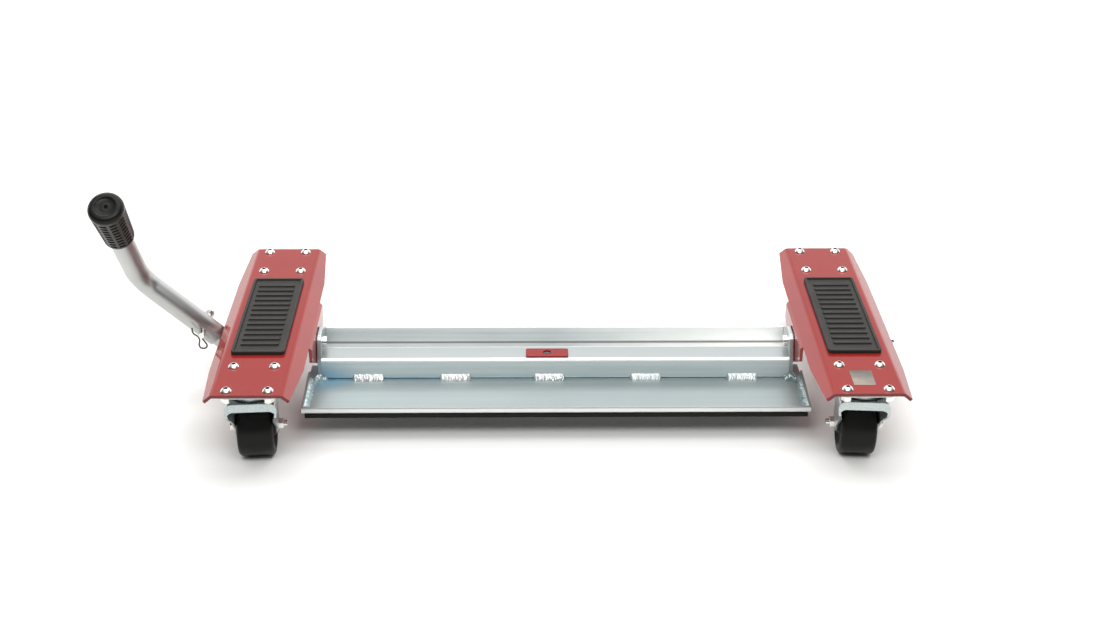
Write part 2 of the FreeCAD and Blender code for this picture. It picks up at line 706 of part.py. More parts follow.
def make_fork_model():
    """A pressed fork: crown with a sunk ball cup, front lip, and drawn-in legs that trail to the rear."""
    body = new_body("fork_model", "0", "0")
    wide = "fork_shoulder / 2"
    narrow = "fork_inside / 2"
    outside = f"({wide} + fork_sheet)"
    shoulder_z = "crown_z - fork_shoulder_drop"
    waist_z = "crown_z - fork_shoulder_drop - fork_draw"
    foot_z = "axle_z - fork_foot"
    right_side = [
        (outside, "crown_z"),
        (outside, shoulder_z),
        (f"{narrow} + fork_sheet", waist_z),
        (f"{narrow} + fork_sheet", foot_z),
        (narrow, foot_z),
        (narrow, waist_z),
        (wide, shoulder_z),
        (wide, "crown_z - fork_sheet"),
    ]
    left_side = [(f"-({across})", up) for across, up in reversed(right_side)]
    pad(body, polygon(body, "XZ_Plane", right_side + left_side),
        "(fork_tail + fork_reach + caster_trail) * 2", centred=True)

    def inside_crown(edge):
        point = edge.CenterOfMass
        return runs_along(edge, 1) and near(abs(point.x), wide) and near(point.z, "crown_z - fork_sheet")

    def leg_bend(edge):
        height = edge.CenterOfMass.z
        return runs_along(edge, 1) and (near(height, shoulder_z) or near(height, waist_z))

    round_edges(body, "fork_corner - fork_sheet", inside_crown)
    round_edges(body, "leg_round", leg_bend)

    axle = ("caster_trail", "axle_z")
    far = "(fork_tail + fork_reach + caster_trail) * 1.5"
    trim = new_sketch(body, "YZ_Plane")
    add_polygon(trim, [
        (f"-{far}", "crown_z + fork_reach"),
        (far, "crown_z + fork_reach"),
        (far, "-fork_reach"),
        (f"-{far}", "-fork_reach"),
    ])
    add_polygon(trim, [
        ("-fork_reach", "crown_z"),
        ("fork_tail", "crown_z"),
        ("fork_tail", shoulder_z),
        ("caster_trail + fork_foot", "axle_z"),
        ("caster_trail", foot_z),
        ("caster_trail - fork_foot", "axle_z"),
        ("-fork_reach", "crown_z - fork_lip - lip_corner"),
    ], {3: (axle, "fork_foot"), 4: (axle, "fork_foot")})
    cut_through(body, trim)

    lip_half = f"({wide} + fork_sheet / 2)"
    lip_low = "crown_z - fork_lip"
    lip = [
        (f"-{lip_half}", f"{lip_low} - lip_corner"),
        (f"-{lip_half}", "crown_z - fork_sheet / 2"),
        (lip_half, "crown_z - fork_sheet / 2"),
        (lip_half, f"{lip_low} - lip_corner"),
        (f"{lip_half} - lip_corner", lip_low),
        (f"-{lip_half} + lip_corner", lip_low),
    ]
    lip_arcs = {
        3: ((f"{lip_half} - lip_corner", f"{lip_low} - lip_corner"), "lip_corner"),
        5: ((f"-{lip_half} + lip_corner", f"{lip_low} - lip_corner"), "lip_corner"),
    }
    pad(body, polygon(body, "XZ_Plane", lip, "fork_reach", lip_arcs), "fork_sheet", reverse=True)

    crown_corners = new_sketch(body, "XZ_Plane")
    for i in (-1, 1):
        add_polygon(crown_corners, [
            (f"{i} * ({outside} - fork_corner)", "crown_z"),
            (f"{i} * {outside}", "crown_z"),
            (f"{i} * {outside}", "crown_z - fork_corner"),
        ], {2: ((f"{i} * ({outside} - fork_corner)", "crown_z - fork_corner"), "fork_corner")})
    cut_through(body, crown_corners)

    cup_inner = "race_diameter / 2 + cup_gap"
    cup = circles(body, "XY_Plane", [("0", "0", f"{cup_inner} + cup_wall")], "cup_z - fork_sheet")
    pad(body, cup, "crown_z - fork_sheet / 2 - (cup_z - fork_sheet)")
    cut_depth(body, circles(body, "XY_Plane", [("0", "0", cup_inner)], "crown_z"), "crown_z - cup_z")
    cut_through(body, circles(body, "XY_Plane", [("0", "0", "kingpin_diameter / 2 + running_fit * 2")]))
    cut_through(body, circles(body, "YZ_Plane", [("caster_trail", "axle_z", "axle_diameter / 2 + seat_gap")]))
    return body


def make_axle_model(side, nut_side):
    """Hex bolt and nut through the fork legs, the nut on the side of the cradle."""
    leg = "(fork_inside / 2 + fork_sheet)"
    reach = f"({leg} * 2 + axle_nut + axle_tail)"
    shank_x = f"-{leg}" if nut_side > 0 else f"{leg} - {reach}"
    head_x = f"-{leg} - axle_nut" if nut_side > 0 else leg
    nut_x = leg if nut_side > 0 else f"-{leg} - axle_nut"
    seat = ("caster_trail", "axle_z", TURN_TO_X)
    shank = bar(f"{side}_bolt_shank", "axle_diameter / 2", reach, shank_x, *seat)
    head = hex_bar(f"{side}_bolt_head", "axle_flats", "axle_nut", head_x, *seat)
    blank = hex_bar(f"{side}_axle_nut_blank", "axle_flats", "axle_nut", nut_x, *seat)
    bore = bar(f"{side}_axle_nut_bore", "axle_diameter / 2 + seat_gap", "axle_nut * 2",
               f"{nut_x} - axle_nut / 2", *seat)
    bolt = fuse(f"{side}_bolt", shank, head)
    return group(f"{side}_axle_model", bolt, cut(f"{side}_axle_nut", blank, bore))


def make_wheel_bush_model():
    seat = ("caster_trail", "axle_z", TURN_TO_X)
    blank = bar("bush_blank", "wheel_bush_diameter / 2", "fork_inside", "-fork_inside / 2", *seat)
    bore = bar("bush_bore", "axle_diameter / 2 + seat_gap", "fork_inside * 1.5", "-fork_inside * 0.75", *seat)
    return cut("wheel_bush_model", blank, bore)


def make_wheel_model():
    """A solid wheel about its own middle: rounded tread, dished sides and a boss that runs on the bush."""
    body = new_body("wheel_model", "0", "0")
    radius = "wheel_diameter / 2"
    edge = "wheel_width / 2"
    dish = "wheel_width / 2 - wheel_recess"
    bore = "wheel_bush_diameter / 2 + running_fit"
    right_side = [
        ("hub_width / 2", bore),
        ("hub_width / 2", "hub_diameter / 2"),
        (dish, "hub_diameter / 2 + wheel_recess / 2"),
        (dish, f"{radius} - wheel_shoulder * 2"),
        (edge, f"{radius} - wheel_shoulder * 1.5"),
        (edge, radius),
    ]
    left_side = [(f"-({across})", up) for across, up in reversed(right_side)]
    turn(body, polygon(body, "XZ_Plane", right_side + left_side), "H_Axis")

    def tread_rim(rim):
        return isinstance(rim.Curve, Part.Circle) and near(rim.Curve.Radius, radius)

    round_edges(body, "wheel_shoulder", tread_rim)
    return body


def make_swivel_models():
    """The pieces that swivel, each made once and then copied to the four casters."""
    return {
        "balls": make_ball_model(),
        "fork": make_fork_model(),
        "left_axle": make_axle_model("left", 1),
        "right_axle": make_axle_model("right", -1),
        "wheel_bush": make_wheel_bush_model(),
        "wheel": make_wheel_model(),
    }


def make_caster(end, end_sign, side, sign, models):
    """One caster with its wheel trailing to the rear, the front ones turned a little."""
    name = f"{end}_{side}"
    x = f"shift_x + {sign} * deck_x"
    y = f"shift_y + {end_sign} * swivel_y"
    toe = f"{-sign} * front_toe" if end == "front" else "0"
    make_caster_plate(name, x, y)
    make_kingpin(name, x, y)
    for piece in ("balls", "fork", "axle", "wheel_bush"):
        model = models[f"{side}_axle" if piece == "axle" else piece]
        keep(copies(f"{name}_{piece}_copy", model, [(x, y)], toe), f"{name}_{piece}")
    hub = (f"{x} - caster_trail * sin({toe})", f"{y} + caster_trail * cos({toe})", "axle_z")
    keep(copies(f"{name}_wheel_copy", models["wheel"], [hub], toe), f"{name}_wheel")


# Cradle
def make_cross_tube():
    """Box tube between the arms, with a hole under the anchor tab."""
    body = new_body("tube_body")
    middle = ("tube_depth / 2 - tube_front", "floor_z + tube_side / 2")
    pad(body, rectangle(body, "YZ_Plane", "tube_depth", "tube_side", middle), "tube_half * 2", centred=True)
    round_edges(body, "tube_corner", lambda edge: runs_along(edge, 0))
    bore = rectangle(body, "YZ_Plane", "tube_depth - tube_wall * 2", "tube_side - tube_wall * 2", middle)
    cut_through(body, bore)
    hole = ("anchor_x", "anchor_back - tube_front", "anchor_hole / 2")
    cut_depth(body, circles(body, "XY_Plane", [hole], "tube_top"), "tube_wall * 2")
    return keep(body, "cross_tube")


def make_tray():
    """Folded sheet: the floor runs under the tube, and the front edge turns up."""
    body = new_body("tray_body")
    section = [
        ("tube_behind", "floor_z - tray_sheet"),
        ("tube_behind", "floor_z"),
        ("-tray_front + tray_sheet", "floor_z"),
        ("-tray_front + tray_sheet", "floor_z + tray_lip"),
        ("-tray_front", "floor_z + tray_lip"),
        ("-tray_front", "floor_z - tray_sheet"),
    ]
    pad(body, polygon(body, "YZ_Plane", section), "tray_half * 2", centred=True)

    def fold(edge):
        point = edge.CenterOfMass
        return runs_along(edge, 0) and near(point.y, "-tray_front") and near(point.z, "floor_z - tray_sheet")

    round_edges(body, "tray_bend", fold)
    return keep(body, "tray")


def make_end_plates():
    """A sloping plate welded across each end of the tray."""
    plates = []
    for side, sign in (("left", -1), ("right", 1)):
        body = new_body(f"{side}_end_plate", f"shift_x + {sign} * (tray_half - tray_sheet / 2)")
        outline = [
            ("-tube_front", "floor_z"),
            ("-tray_front + tray_sheet", "floor_z"),
            ("-tray_front + tray_sheet", "floor_z + tray_lip"),
            ("-tube_front - end_plate_height", "floor_z + end_plate_height"),
            ("-tube_front", "floor_z + end_plate_height"),
        ]
        pad(body, polygon(body, "YZ_Plane", outline), "tray_sheet", centred=True)
        plates.append(body)
    return keep(group("end_plate_pair", *plates), "tray_end_plates")


def make_back_angle():
    """Folded angle behind the tube: a ledge, then a wall at the rear."""
    body = new_body("back_body")
    section = [
        ("tube_behind", "ledge_z"),
        ("back_reach", "ledge_z"),
        ("back_reach", "ledge_z + back_wall"),
        ("back_reach - tray_sheet", "ledge_z + back_wall"),
        ("back_reach - tray_sheet", "ledge_z + tray_sheet"),
        ("tube_behind", "ledge_z + tray_sheet"),
    ]
    pad(body, polygon(body, "YZ_Plane", section), "tube_half * 2", centred=True)

    def fold(edge):
        point = edge.CenterOfMass
        return runs_along(edge, 0) and near(point.y, "back_reach") and near(point.z, "ledge_z")

    round_edges(body, "back_bend", fold)
    return keep(body, "back_angle")


def make_arm(side, sign):
    """Plate that joins the tube, the back angle and the shaft."""
    body = new_body(f"{side}_arm_body", f"shift_x + {sign} * arm_x")
    outline = [
        ("-tube_front", "floor_z"),
        ("tube_behind", "floor_z"),
        ("back_reach", "ledge_z"),
        ("back_reach", "ledge_z + back_wall"),
        ("arm_crown", "pivot_z + arm_crown"),
        ("-arm_crown", "pivot_z + arm_crown"),
        ("-tube_front", "tube_top"),
    ]
    pad(body, polygon(body, "YZ_Plane", outline), "arm_sheet", centred=True)

    def crown(edge):
        return runs_along(edge, 0) and near(edge.CenterOfMass.z, "pivot_z + arm_crown")

    round_edges(body, "arm_round", crown)
    cut_through(body, circles(body, "YZ_Plane", [("0", "pivot_z", "pivot_screw_diameter / 2 + seat_gap")]))
    return keep(body, f"{side}_arm")


def make_stitch_welds():
    """Quarter-round beads in the corner between the tube and the tray floor."""
    beads = []
    for middle in ("weld_far_left", "weld_left", "weld_middle", "weld_right", "weld_far_right"):
        bead = doc.addObject("Part::Cylinder", middle)
        tie(bead, Radius="weld_leg", Height="weld_length")
        bead.Angle = 90
        bead.Placement.Rotation = FreeCAD.Rotation(
            FreeCAD.Vector(0, 0, 1), FreeCAD.Vector(0, -1, 0), FreeCAD.Vector(1, 0, 0), "ZXY")
        beads.append(place(bead, f"shift_x + {middle} - weld_length / 2", "shift_y - tube_front", "floor_z"))
    return keep(group("weld_set", *beads), "stitch_welds")


def make_anchor_tab():
    body = new_body("anchor_body", "shift_x + anchor_x", "shift_y - tube_front + anchor_back", "tube_top")
    pad(body, rectangle(body, "XY_Plane", "anchor_length", "anchor_width"), "anchor_sheet")
    round_edges(body, "anchor_sheet", lambda edge: runs_along(edge, 2))
    cut_through(body, circles(body, "XY_Plane", [("0", "0", "anchor_hole / 2")]))
    return keep(body, "anchor_tab")


def make_ground_mat():
    """Rubber strip bonded under the tray."""
    body = new_body("mat_body", "shift_x", "shift_y - tray_front - mat_proud + mat_depth / 2",
                    "floor_z - tray_sheet - mat_thick")
    pad(body, rectangle(body, "XY_Plane", "(tray_half - mat_short) * 2", "mat_depth"), "mat_thick")
    round_edges(body, "mat_proud", lambda edge: runs_along(edge, 2))
    return keep(body, "ground_mat")


def make_shaft(side, sign, reach):
    """Round shaft from the arm outwards, tapped at its inner end."""
    start = "(arm_x + arm_sheet / 2)"
    length = f"({reach} - {start})"
    x = f"shift_x + {start}" if sign > 0 else f"shift_x - {reach}"
    blank = bar(f"{side}_shaft_blank", "shaft_diameter / 2", length, x, "shift_y", "pivot_z", TURN_TO_X)
    tapped_x = f"{x} - pivot_screw_grip" if sign > 0 else f"shift_x - {start} - pivot_screw_grip"
    tapped = bar(f"{side}_shaft_tapped", "pivot_screw_diameter / 2 + seat_gap", "pivot_screw_grip * 2",
                 tapped_x, "shift_y", "pivot_z", TURN_TO_X)
    return keep(cut(f"{side}_shaft_cut", blank, tapped), f"{side}_shaft")


def make_pivot_screws():
    """A screw through each arm into its shaft, its head towards the middle."""
    screws = []
    shank_length = "(arm_sheet + pivot_screw_grip)"
    for side, sign in (("left", -1), ("right", 1)):
        inner = f"shift_x + {sign} * (arm_x - arm_sheet / 2)"
        shank_x = inner if sign > 0 else f"{inner} - {shank_length}"
        head_x = f"{inner} - pivot_screw_head_height" if sign > 0 else inner
        shank = bar(f"{side}_pivot_shank", "pivot_screw_diameter / 2", shank_length,
                    shank_x, "shift_y", "pivot_z", TURN_TO_X)
        head = bar(f"{side}_pivot_head", "pivot_screw_head / 2", "pivot_screw_head_height",
                   head_x, "shift_y", "pivot_z", TURN_TO_X)
        screws.append(fuse(f"{side}_pivot_screw", shank, head))
    return keep(group("pivot_screw_pair", *screws), "pivot_screws")


# Lever
def lever_point(first, second="0"):
    """A point on the lever: so far from the foot along its first stretch, then along its second."""
    x = f"shift_x - lever_root - ({first}) * cos(lever_lean)"
    y = f"shift_y - ({second}) * sin(lever_rake)"
    z = f"pivot_z + ({first}) * sin(lever_lean) + ({second}) * cos(lever_rake)"
    return x, y, z


def lever_axes():
    """Unit directions of the first and second stretch."""
    first = FreeCAD.Vector(size("-cos(lever_lean)"), 0, size("sin(lever_lean)"))
    second = FreeCAD.Vector(0, size("-sin(lever_rake)"), size("cos(lever_rake)"))
    return first, second


def lock_hole(name):
    """Room for the lock pin, from front to rear through the foot of the lever."""
    x, y, z = lever_point("lock_at")
    return bar(name, "lock_diameter / 2 + seat_gap", "lever_diameter * 2",
               x, f"{y} - lever_diameter", z, TURN_TO_Y)


def make_lever_stub():
    """Solid stub welded on the end of the left shaft. The lever tube slides over it."""
    along = FreeCAD.Rotation(FreeCAD.Vector(0, 0, 1), lever_axes()[0])
    blank = bar("stub_blank", "lever_diameter / 2 - lever_wall - seat_gap", "stub_below + stub_length",
                *lever_point("-stub_below"), along)
    shaft_room = bar("stub_shaft_room", "shaft_diameter / 2", "lever_diameter",
                     "shift_x - lever_root", "shift_y", "pivot_z", TURN_TO_X)
    return keep(cut("stub_cut", blank, shaft_room, lock_hole("stub_lock_hole")), "lever_stub")


def make_lever_tube():
    """Bent tube over the stub: out and up, then forward and up."""
    body = new_body("lever_pipe")
    first, second = lever_axes()
    across = second - first * first.dot(second)
    foot = FreeCAD.Vector(*[size(text) for text in lever_point("0")])
    body.Placement = FreeCAD.Placement(foot, FreeCAD.Rotation(first, across, first.cross(across), "XYZ"))
    for axis in "xyz":
        body.setExpression(f"Placement.Base.{axis}", None)

    spine = new_sketch(body, "XY_Plane")
    start = ("lever_foot", "0")
    bend_in = ("lever_first - bend_tangent", "0")
    bend_out = ("lever_first + bend_tangent * cos(bend_angle)", "bend_tangent * sin(bend_angle)")
    finish = ("lever_first + lever_second * cos(bend_angle)", "lever_second * sin(bend_angle)")
    halfway = (
        "lever_first - bend_tangent + lever_bend * sin(bend_angle / 2)",
        "lever_bend * (1 - cos(bend_angle / 2))",
    )
    spine.addGeometry(Part.LineSegment(spot(start), spot(bend_in)))
    spine.addGeometry(Part.Arc(spot(bend_in), spot(halfway), spot(bend_out)))
    spine.addGeometry(Part.LineSegment(spot(bend_out), spot(finish)))
    spine.addConstraint(Sketcher.Constraint("Tangent", 0, 2, 1, 1))
    spine.addConstraint(Sketcher.Constraint("Tangent", 1, 2, 2, 1))
    pin_point(spine, 0, 1, start)
    pin_point(spine, 0, 2, bend_in)
    pin_point(spine, 2, 2, finish)
    ring = circles(body, "YZ_Plane", [
        ("0", "0", "lever_diameter / 2"),
        ("0", "0", "lever_diameter / 2 - lever_wall"),
    ], "lever_foot")
    pipe = body.newObject("PartDesign::AdditivePipe", "lever_sweep")
    pipe.Profile = ring
    pipe.Spine = spine
    doc.recompute()
    return keep(cut("lever_tube_cut", body, lock_hole("lever_lock_hole")), "lever_tube")


def make_lever_grip():
    """Hand grip over the end of the lever tube, widening to its closed end."""
    body = new_body("grip_body")
    second = lever_axes()[1]
    top = FreeCAD.Vector(*[size(text) for text in lever_point("lever_first", "lever_second")])
    for axis in "xyz":
        body.setExpression(f"Placement.Base.{axis}", None)
    body.Placement = FreeCAD.Placement(top, FreeCAD.Rotation(FreeCAD.Vector(0, 0, 1), second))
    bottom = "grip_cap - grip_length"
    bore = "lever_diameter / 2 + seat_gap"
    section = [
        ("0", "0"),
        (bore, "0"),
        (bore, bottom),
        ("grip_diameter / 2", bottom),
        ("grip_end / 2", "grip_cap - grip_round"),
        ("grip_end / 2 - grip_round", "grip_cap"),
        ("grip_dimple / 2", "grip_cap"),
        ("grip_dimple / 2", "grip_cap / 2"),
        ("0", "grip_cap / 2"),
    ]
    turn(body, polygon(body, "XZ_Plane", section), "V_Axis")
    return keep(body, "lever_grip")


def make_lock_pin():
    """Cross pin through the lever and its stub, headed at the rear and drilled at the front."""
    x, y, z = lever_point("lock_at")
    shank = bar("lock_shank", "lock_diameter / 2", "lock_front + lock_rear",
                x, f"{y} - lock_front", z, TURN_TO_Y)
    head = bar("lock_cap", "lock_head / 2", "lock_head_height", x, f"{y} + lock_rear", z, TURN_TO_Y)
    hole = bar("lock_clip_hole", "clip_wire / 2 + seat_gap", "lock_diameter * 2",
               x, f"{y} - lock_front + clip_edge", f"{z} - lock_diameter")
    return keep(cut("lock_pin_cut", fuse("lock_pin_blank", shank, head), hole), "lock_pin")


def make_hairpin_clip():
    """Bent wire: one leg through the lock pin, a round turn below it, the other leg beside it."""
    x, y, z = lever_point("lock_at")
    along = f"{y} - lock_front + clip_edge"
    low = f"{z} - clip_below"
    length = "clip_below + clip_above"
    leg = bar("clip_leg", "clip_wire / 2", length, x, along, low)
    free_leg = bar("clip_free_leg", "clip_wire / 2", length, f"{x} - clip_span", along, low)
    loop = doc.addObject("Part::Torus", "clip_loop")
    tie(loop, Radius1="clip_span / 2", Radius2="clip_wire / 2")
    loop.Angle3 = 180
    loop.Placement.Rotation = TURN_TO_Y
    place(loop, f"{x} - clip_span / 2", along, low)
    return keep(fuse("clip_wire_form", leg, free_leg, loop), "hairpin_clip")


def make_carriages():
    screw = make_screw_model()
    nut = make_nut_model()
    models = make_swivel_models()
    for side, sign in (("left", -1), ("right", 1)):
        make_deck(side, sign)
        make_outer_bracket(side, sign)
        make_bushes(side, sign)
        make_step_pad(side, sign)
        make_fasteners(side, sign, screw, nut)
        for end, end_sign in (("front", -1), ("rear", 1)):
            make_caster(end, end_sign, side, sign, models)


def make_cradle():
    make_cross_tube()
    make_tray()
    make_end_plates()
    make_back_angle()
    make_stitch_welds()
    make_anchor_tab()
    make_ground_mat()
    for side, sign, reach in (("left", -1, "lever_root"), ("right", 1, "shaft_reach")):
        make_arm(side, sign)
        make_shaft(side, sign, reach)
    make_pivot_screws()
    make_lever_stub()
    make_lever_tube()
    make_lever_grip()
    make_lock_pin()
    make_hairpin_clip()


def check_document():
    """Stop if any object failed or any piece has no sound shape."""
    for thing in doc.Objects:
        if {"Invalid", "Error"} & set(thing.State):
            raise ValueError(f"{thing.Label}: {thing.State}")
    for piece in nodes:
        if piece.Shape.isNull() or not piece.Shape.isValid() or not piece.Shape.Solids:
            raise ValueError(f"{piece.Label}: no sound shape")
        if min(solid.Volume for solid in piece.Shape.Solids) <= 0:
            raise ValueError(f"{piece.Label}: a solid is inside out")


def write_pieces():
    os.makedirs("parts", exist_ok=True)
    for piece in nodes:
        piece.Shape.exportStep(f"parts/{piece.Label}.step")


make_carriages()
make_cradle()
doc.recompute()
check_document()
write_pieces()
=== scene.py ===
import math

import bpy
import numpy as np
from mathutils import Matrix, Vector


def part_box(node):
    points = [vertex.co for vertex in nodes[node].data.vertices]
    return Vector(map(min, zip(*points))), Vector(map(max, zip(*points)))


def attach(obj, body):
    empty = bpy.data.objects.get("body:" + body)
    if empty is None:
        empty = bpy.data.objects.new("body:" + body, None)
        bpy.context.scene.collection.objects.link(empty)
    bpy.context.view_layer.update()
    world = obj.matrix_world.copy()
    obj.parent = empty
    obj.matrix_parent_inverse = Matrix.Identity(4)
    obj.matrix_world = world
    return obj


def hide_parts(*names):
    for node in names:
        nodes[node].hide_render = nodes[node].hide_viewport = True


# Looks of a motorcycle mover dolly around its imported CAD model. Metres, +X right, +Y rear, +Z up.
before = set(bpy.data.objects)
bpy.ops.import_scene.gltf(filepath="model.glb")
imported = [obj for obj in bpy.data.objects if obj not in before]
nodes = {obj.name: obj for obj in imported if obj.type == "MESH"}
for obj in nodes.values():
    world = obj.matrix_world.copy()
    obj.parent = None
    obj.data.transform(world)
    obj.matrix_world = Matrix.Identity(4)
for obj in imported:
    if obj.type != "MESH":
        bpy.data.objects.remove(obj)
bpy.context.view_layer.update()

# Places read from the CAD model
tube_low, tube_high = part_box("cross_tube")
tray_low, tray_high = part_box("tray")
back_low, back_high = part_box("back_angle")
shaft_low, shaft_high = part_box("right_shaft")
pin_low, pin_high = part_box("lock_pin")
deck_low, deck_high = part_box("right_deck")
screws_low, screws_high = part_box("right_deck_screws")
MID_X = (tube_low.x + tube_high.x) / 2
SHAFT_Y = (shaft_low.y + shaft_high.y) / 2
TRAY_SHEET = 0.003
FLOOR_Z = tray_low.z + TRAY_SHEET
DECK_X = (screws_low.x + screws_high.x) / 2
SIDES = ("left", "right")
CASTERS = ("front_left", "rear_left", "front_right", "rear_right")

# Camera of the photograph, from the middle of the cradle and the shaft axis
EYE = (-0.04076, -1.9467, 1.14076)
YAW, PITCH, ROLL = (math.radians(angle) for angle in (0.972, 27.410, 0.317))
LENS_MM = 53.593
SENSOR_MM = 36.0


# Meshes
CREASE = math.radians(40)


def loft_faces(rings, first):
    """Faces of a closed skin through rings of points: quads between rings, and one flat face at each end.

    rings is an array (ring, point, xyz) and first the number of its first point. The sign of the enclosed
    volume, summed over triangles from the origin, decides which way the faces are turned.
    """
    count, around = rings.shape[:2]
    points = rings.reshape(-1, 3)
    index = np.arange(count * around).reshape(count, around)
    here, beyond = index[:-1], index[1:]
    quads = np.stack([here, np.roll(here, -1, 1), np.roll(beyond, -1, 1), beyond], 2).reshape(-1, 4)
    caps = [index[0][::-1], index[-1]]
    fans = [np.stack([np.full(around - 2, cap[0]), cap[1:-1], cap[2:]], 1) for cap in caps]
    triangles = np.concatenate([quads[:, :3], quads[:, [0, 2, 3]], *fans])
    corners = points[triangles] - points.mean(0)
    volume = np.einsum("ij,ij->", corners[:, 0], np.cross(corners[:, 1], corners[:, 2]))
    order = 1 if volume > 0 else -1
    return (quads[:, ::order] + first).tolist() + [(cap[::order] + first).tolist() for cap in caps]


def skin(name, *lofts):
    """One mesh of closed skins, smooth except where faces meet at more than the crease angle."""
    firsts = np.cumsum([0] + [rings.shape[0] * rings.shape[1] for rings in lofts])
    faces = [face for rings, first in zip(lofts, firsts) for face in loft_faces(rings, first)]
    mesh = bpy.data.meshes.new(name)
    mesh.from_pydata(np.concatenate([rings.reshape(-1, 3) for rings in lofts]), [], faces)
    mesh.polygons.foreach_set("use_smooth", np.ones(len(faces), bool))
    mesh.set_sharp_from_angle(angle=CREASE)
    mesh.update()
    return mesh


def piece(mesh, material, slot, body, *stands_for):
    """An object at the origin that wears a material, rides on a body and may stand for CAD nodes."""
    thing = bpy.data.objects.new(mesh.name, mesh)
    bpy.context.scene.collection.objects.link(thing)
    mesh.materials.append(material)
    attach(thing, body)
    if stands_for:
        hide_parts(*stands_for)


def swept_wire(path, radius, around):
    """Rings of a round wire along a path that lies across Y: circles square to the path's direction."""
    ahead = np.gradient(path, axis=0)
    ahead /= np.linalg.norm(ahead, axis=1, keepdims=True)
    side = np.broadcast_to((0.0, 1.0, 0.0), ahead.shape)
    third = np.cross(ahead, side)
    turn = np.linspace(0, 2 * np.pi, around, endpoint=False)
    spokes = side[:, None] * np.cos(turn)[:, None] + third[:, None] * np.sin(turn)[:, None]
    return path[:, None] + radius * spokes


def soft_step(value, low, high):
    """0 below low, 1 above high, and a smooth rise between them."""
    share = np.clip((value - low) / (high - low), 0, 1)
    return share * share * (3 - 2 * share)


def smooth_line(points, count):
    """A smooth line through a few points: Catmull-Rom spans, count points in all."""
    points = np.asarray(points, float)
    padded = np.concatenate([2 * points[:1] - points[1:2], points, 2 * points[-1:] - points[-2:-1]])
    at = np.linspace(0, len(points) - 1, count)
    span = np.minimum(at.astype(int), len(points) - 2)
    share = (at - span)[:, None]
    before, start, finish, after = (padded[span + step] for step in range(4))
    return 0.5 * (
        2 * start + (finish - before) * share
        + (2 * before - 5 * start + 4 * finish - after) * share ** 2
        + (3 * start - before - 3 * finish + after) * share ** 3
    )


# Step pads
PAD_CORNER = 0.005
PAD_BORDER = 0.004
PAD_RELIEF = 0.002
PAD_EDGE = 0.0012
PAD_DRAFT = 0.0003
RIB_COUNT, RIB_PITCH, RIB_HALF = 13, 0.014, 0.0025
RIB_MARGIN = 0.006
PAD_ROWS, PAD_CROWD = 620, 0.3


def pad_mesh(name, node):
    """A moulded rubber pad as sections from front to rear.

    Half width is that of a rounded rectangle. Height over the width is the thickness less the relief, plus
    the relief where a border or one of the evenly spaced ribs stands, and falls round at the outer edge.
    """
    low, high = (np.array(corner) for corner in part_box(node))
    middle, half = (low + high) / 2, (high - low) / 2
    run = half[1] * np.linspace(-1, 1, PAD_ROWS)
    near_end = soft_step(np.abs(run), half[1] - PAD_CORNER, half[1])
    run += np.sign(run) * PAD_CROWD * (half[1] - np.abs(run)) * near_end
    past = np.clip(np.abs(run) - (half[1] - PAD_CORNER), 0, PAD_CORNER)
    width = half[0] - PAD_CORNER + np.sqrt(np.maximum(PAD_CORNER ** 2 - past ** 2, 0))

    rib_end = PAD_BORDER + RIB_MARGIN
    near_step = np.array([-2.0, -1.0, 0.0, 1.0, 2.0]) * PAD_DRAFT
    inwards = np.concatenate([
        np.linspace(0, PAD_EDGE, 6), PAD_BORDER + near_step, rib_end + near_step, [half[0] * 0.6, half[0]]])
    across = np.concatenate([inwards / half[0] - 1, 1 - inwards[::-1][1:] / half[0]])
    x = width[:, None] * across
    inset = np.minimum(width[:, None] - np.abs(x), half[1] - np.abs(run)[:, None])
    border = 1 - soft_step(inset, PAD_BORDER - PAD_DRAFT, PAD_BORDER + PAD_DRAFT)
    number = np.clip(np.round(run / RIB_PITCH + RIB_COUNT // 2), 0, RIB_COUNT - 1)
    from_rib = np.abs(run - (number - RIB_COUNT // 2) * RIB_PITCH)
    rib = 1 - soft_step(from_rib, RIB_HALF - PAD_DRAFT, RIB_HALF + PAD_DRAFT)
    from_side = half[0] - np.abs(x)
    rib = rib[:, None] * soft_step(from_side, rib_end - PAD_DRAFT, rib_end + PAD_DRAFT)
    fall = 1 - np.sqrt(1 - (1 - np.clip(inset / PAD_EDGE, 0, 1)) ** 2)
    z = high[2] - PAD_RELIEF + PAD_RELIEF * np.maximum(border, rib) - PAD_EDGE * fall

    top = np.stack([middle[0] + x, np.broadcast_to(middle[1] + run[:, None], x.shape), z], 2)
    under = top[:, [-1, 0]].copy()
    under[..., 2] = low[2]
    return skin(name, np.concatenate([top, under], 1))


# Hand grip
LEVER_RADIUS = 0.015
LEVER_RAKE = math.radians(37.8)
GRIP_LENGTH = 0.078
GRIP_OPEN, GRIP_CLOSED = 0.0195, 0.0225
GRIP_CAP = 0.007
GRIP_RIM = 0.0078
GRIP_LIP = 0.0012
GRIP_BORE = 0.0151
GRIP_CORE = 0.0005
RIDGES, RUNGS = 11, 9
RIDGE_STEPS, RUNG_STEPS, ROUND_STEPS = 18, 14, 8
RUNG_MARGIN = 0.3
PIT_DEPTH = 0.0014
# Values of a cosine between which a pit's wall falls, along the grip and round it
PIT_ALONG, PIT_AROUND = (-0.4, 0.3), (-0.75, -0.3)
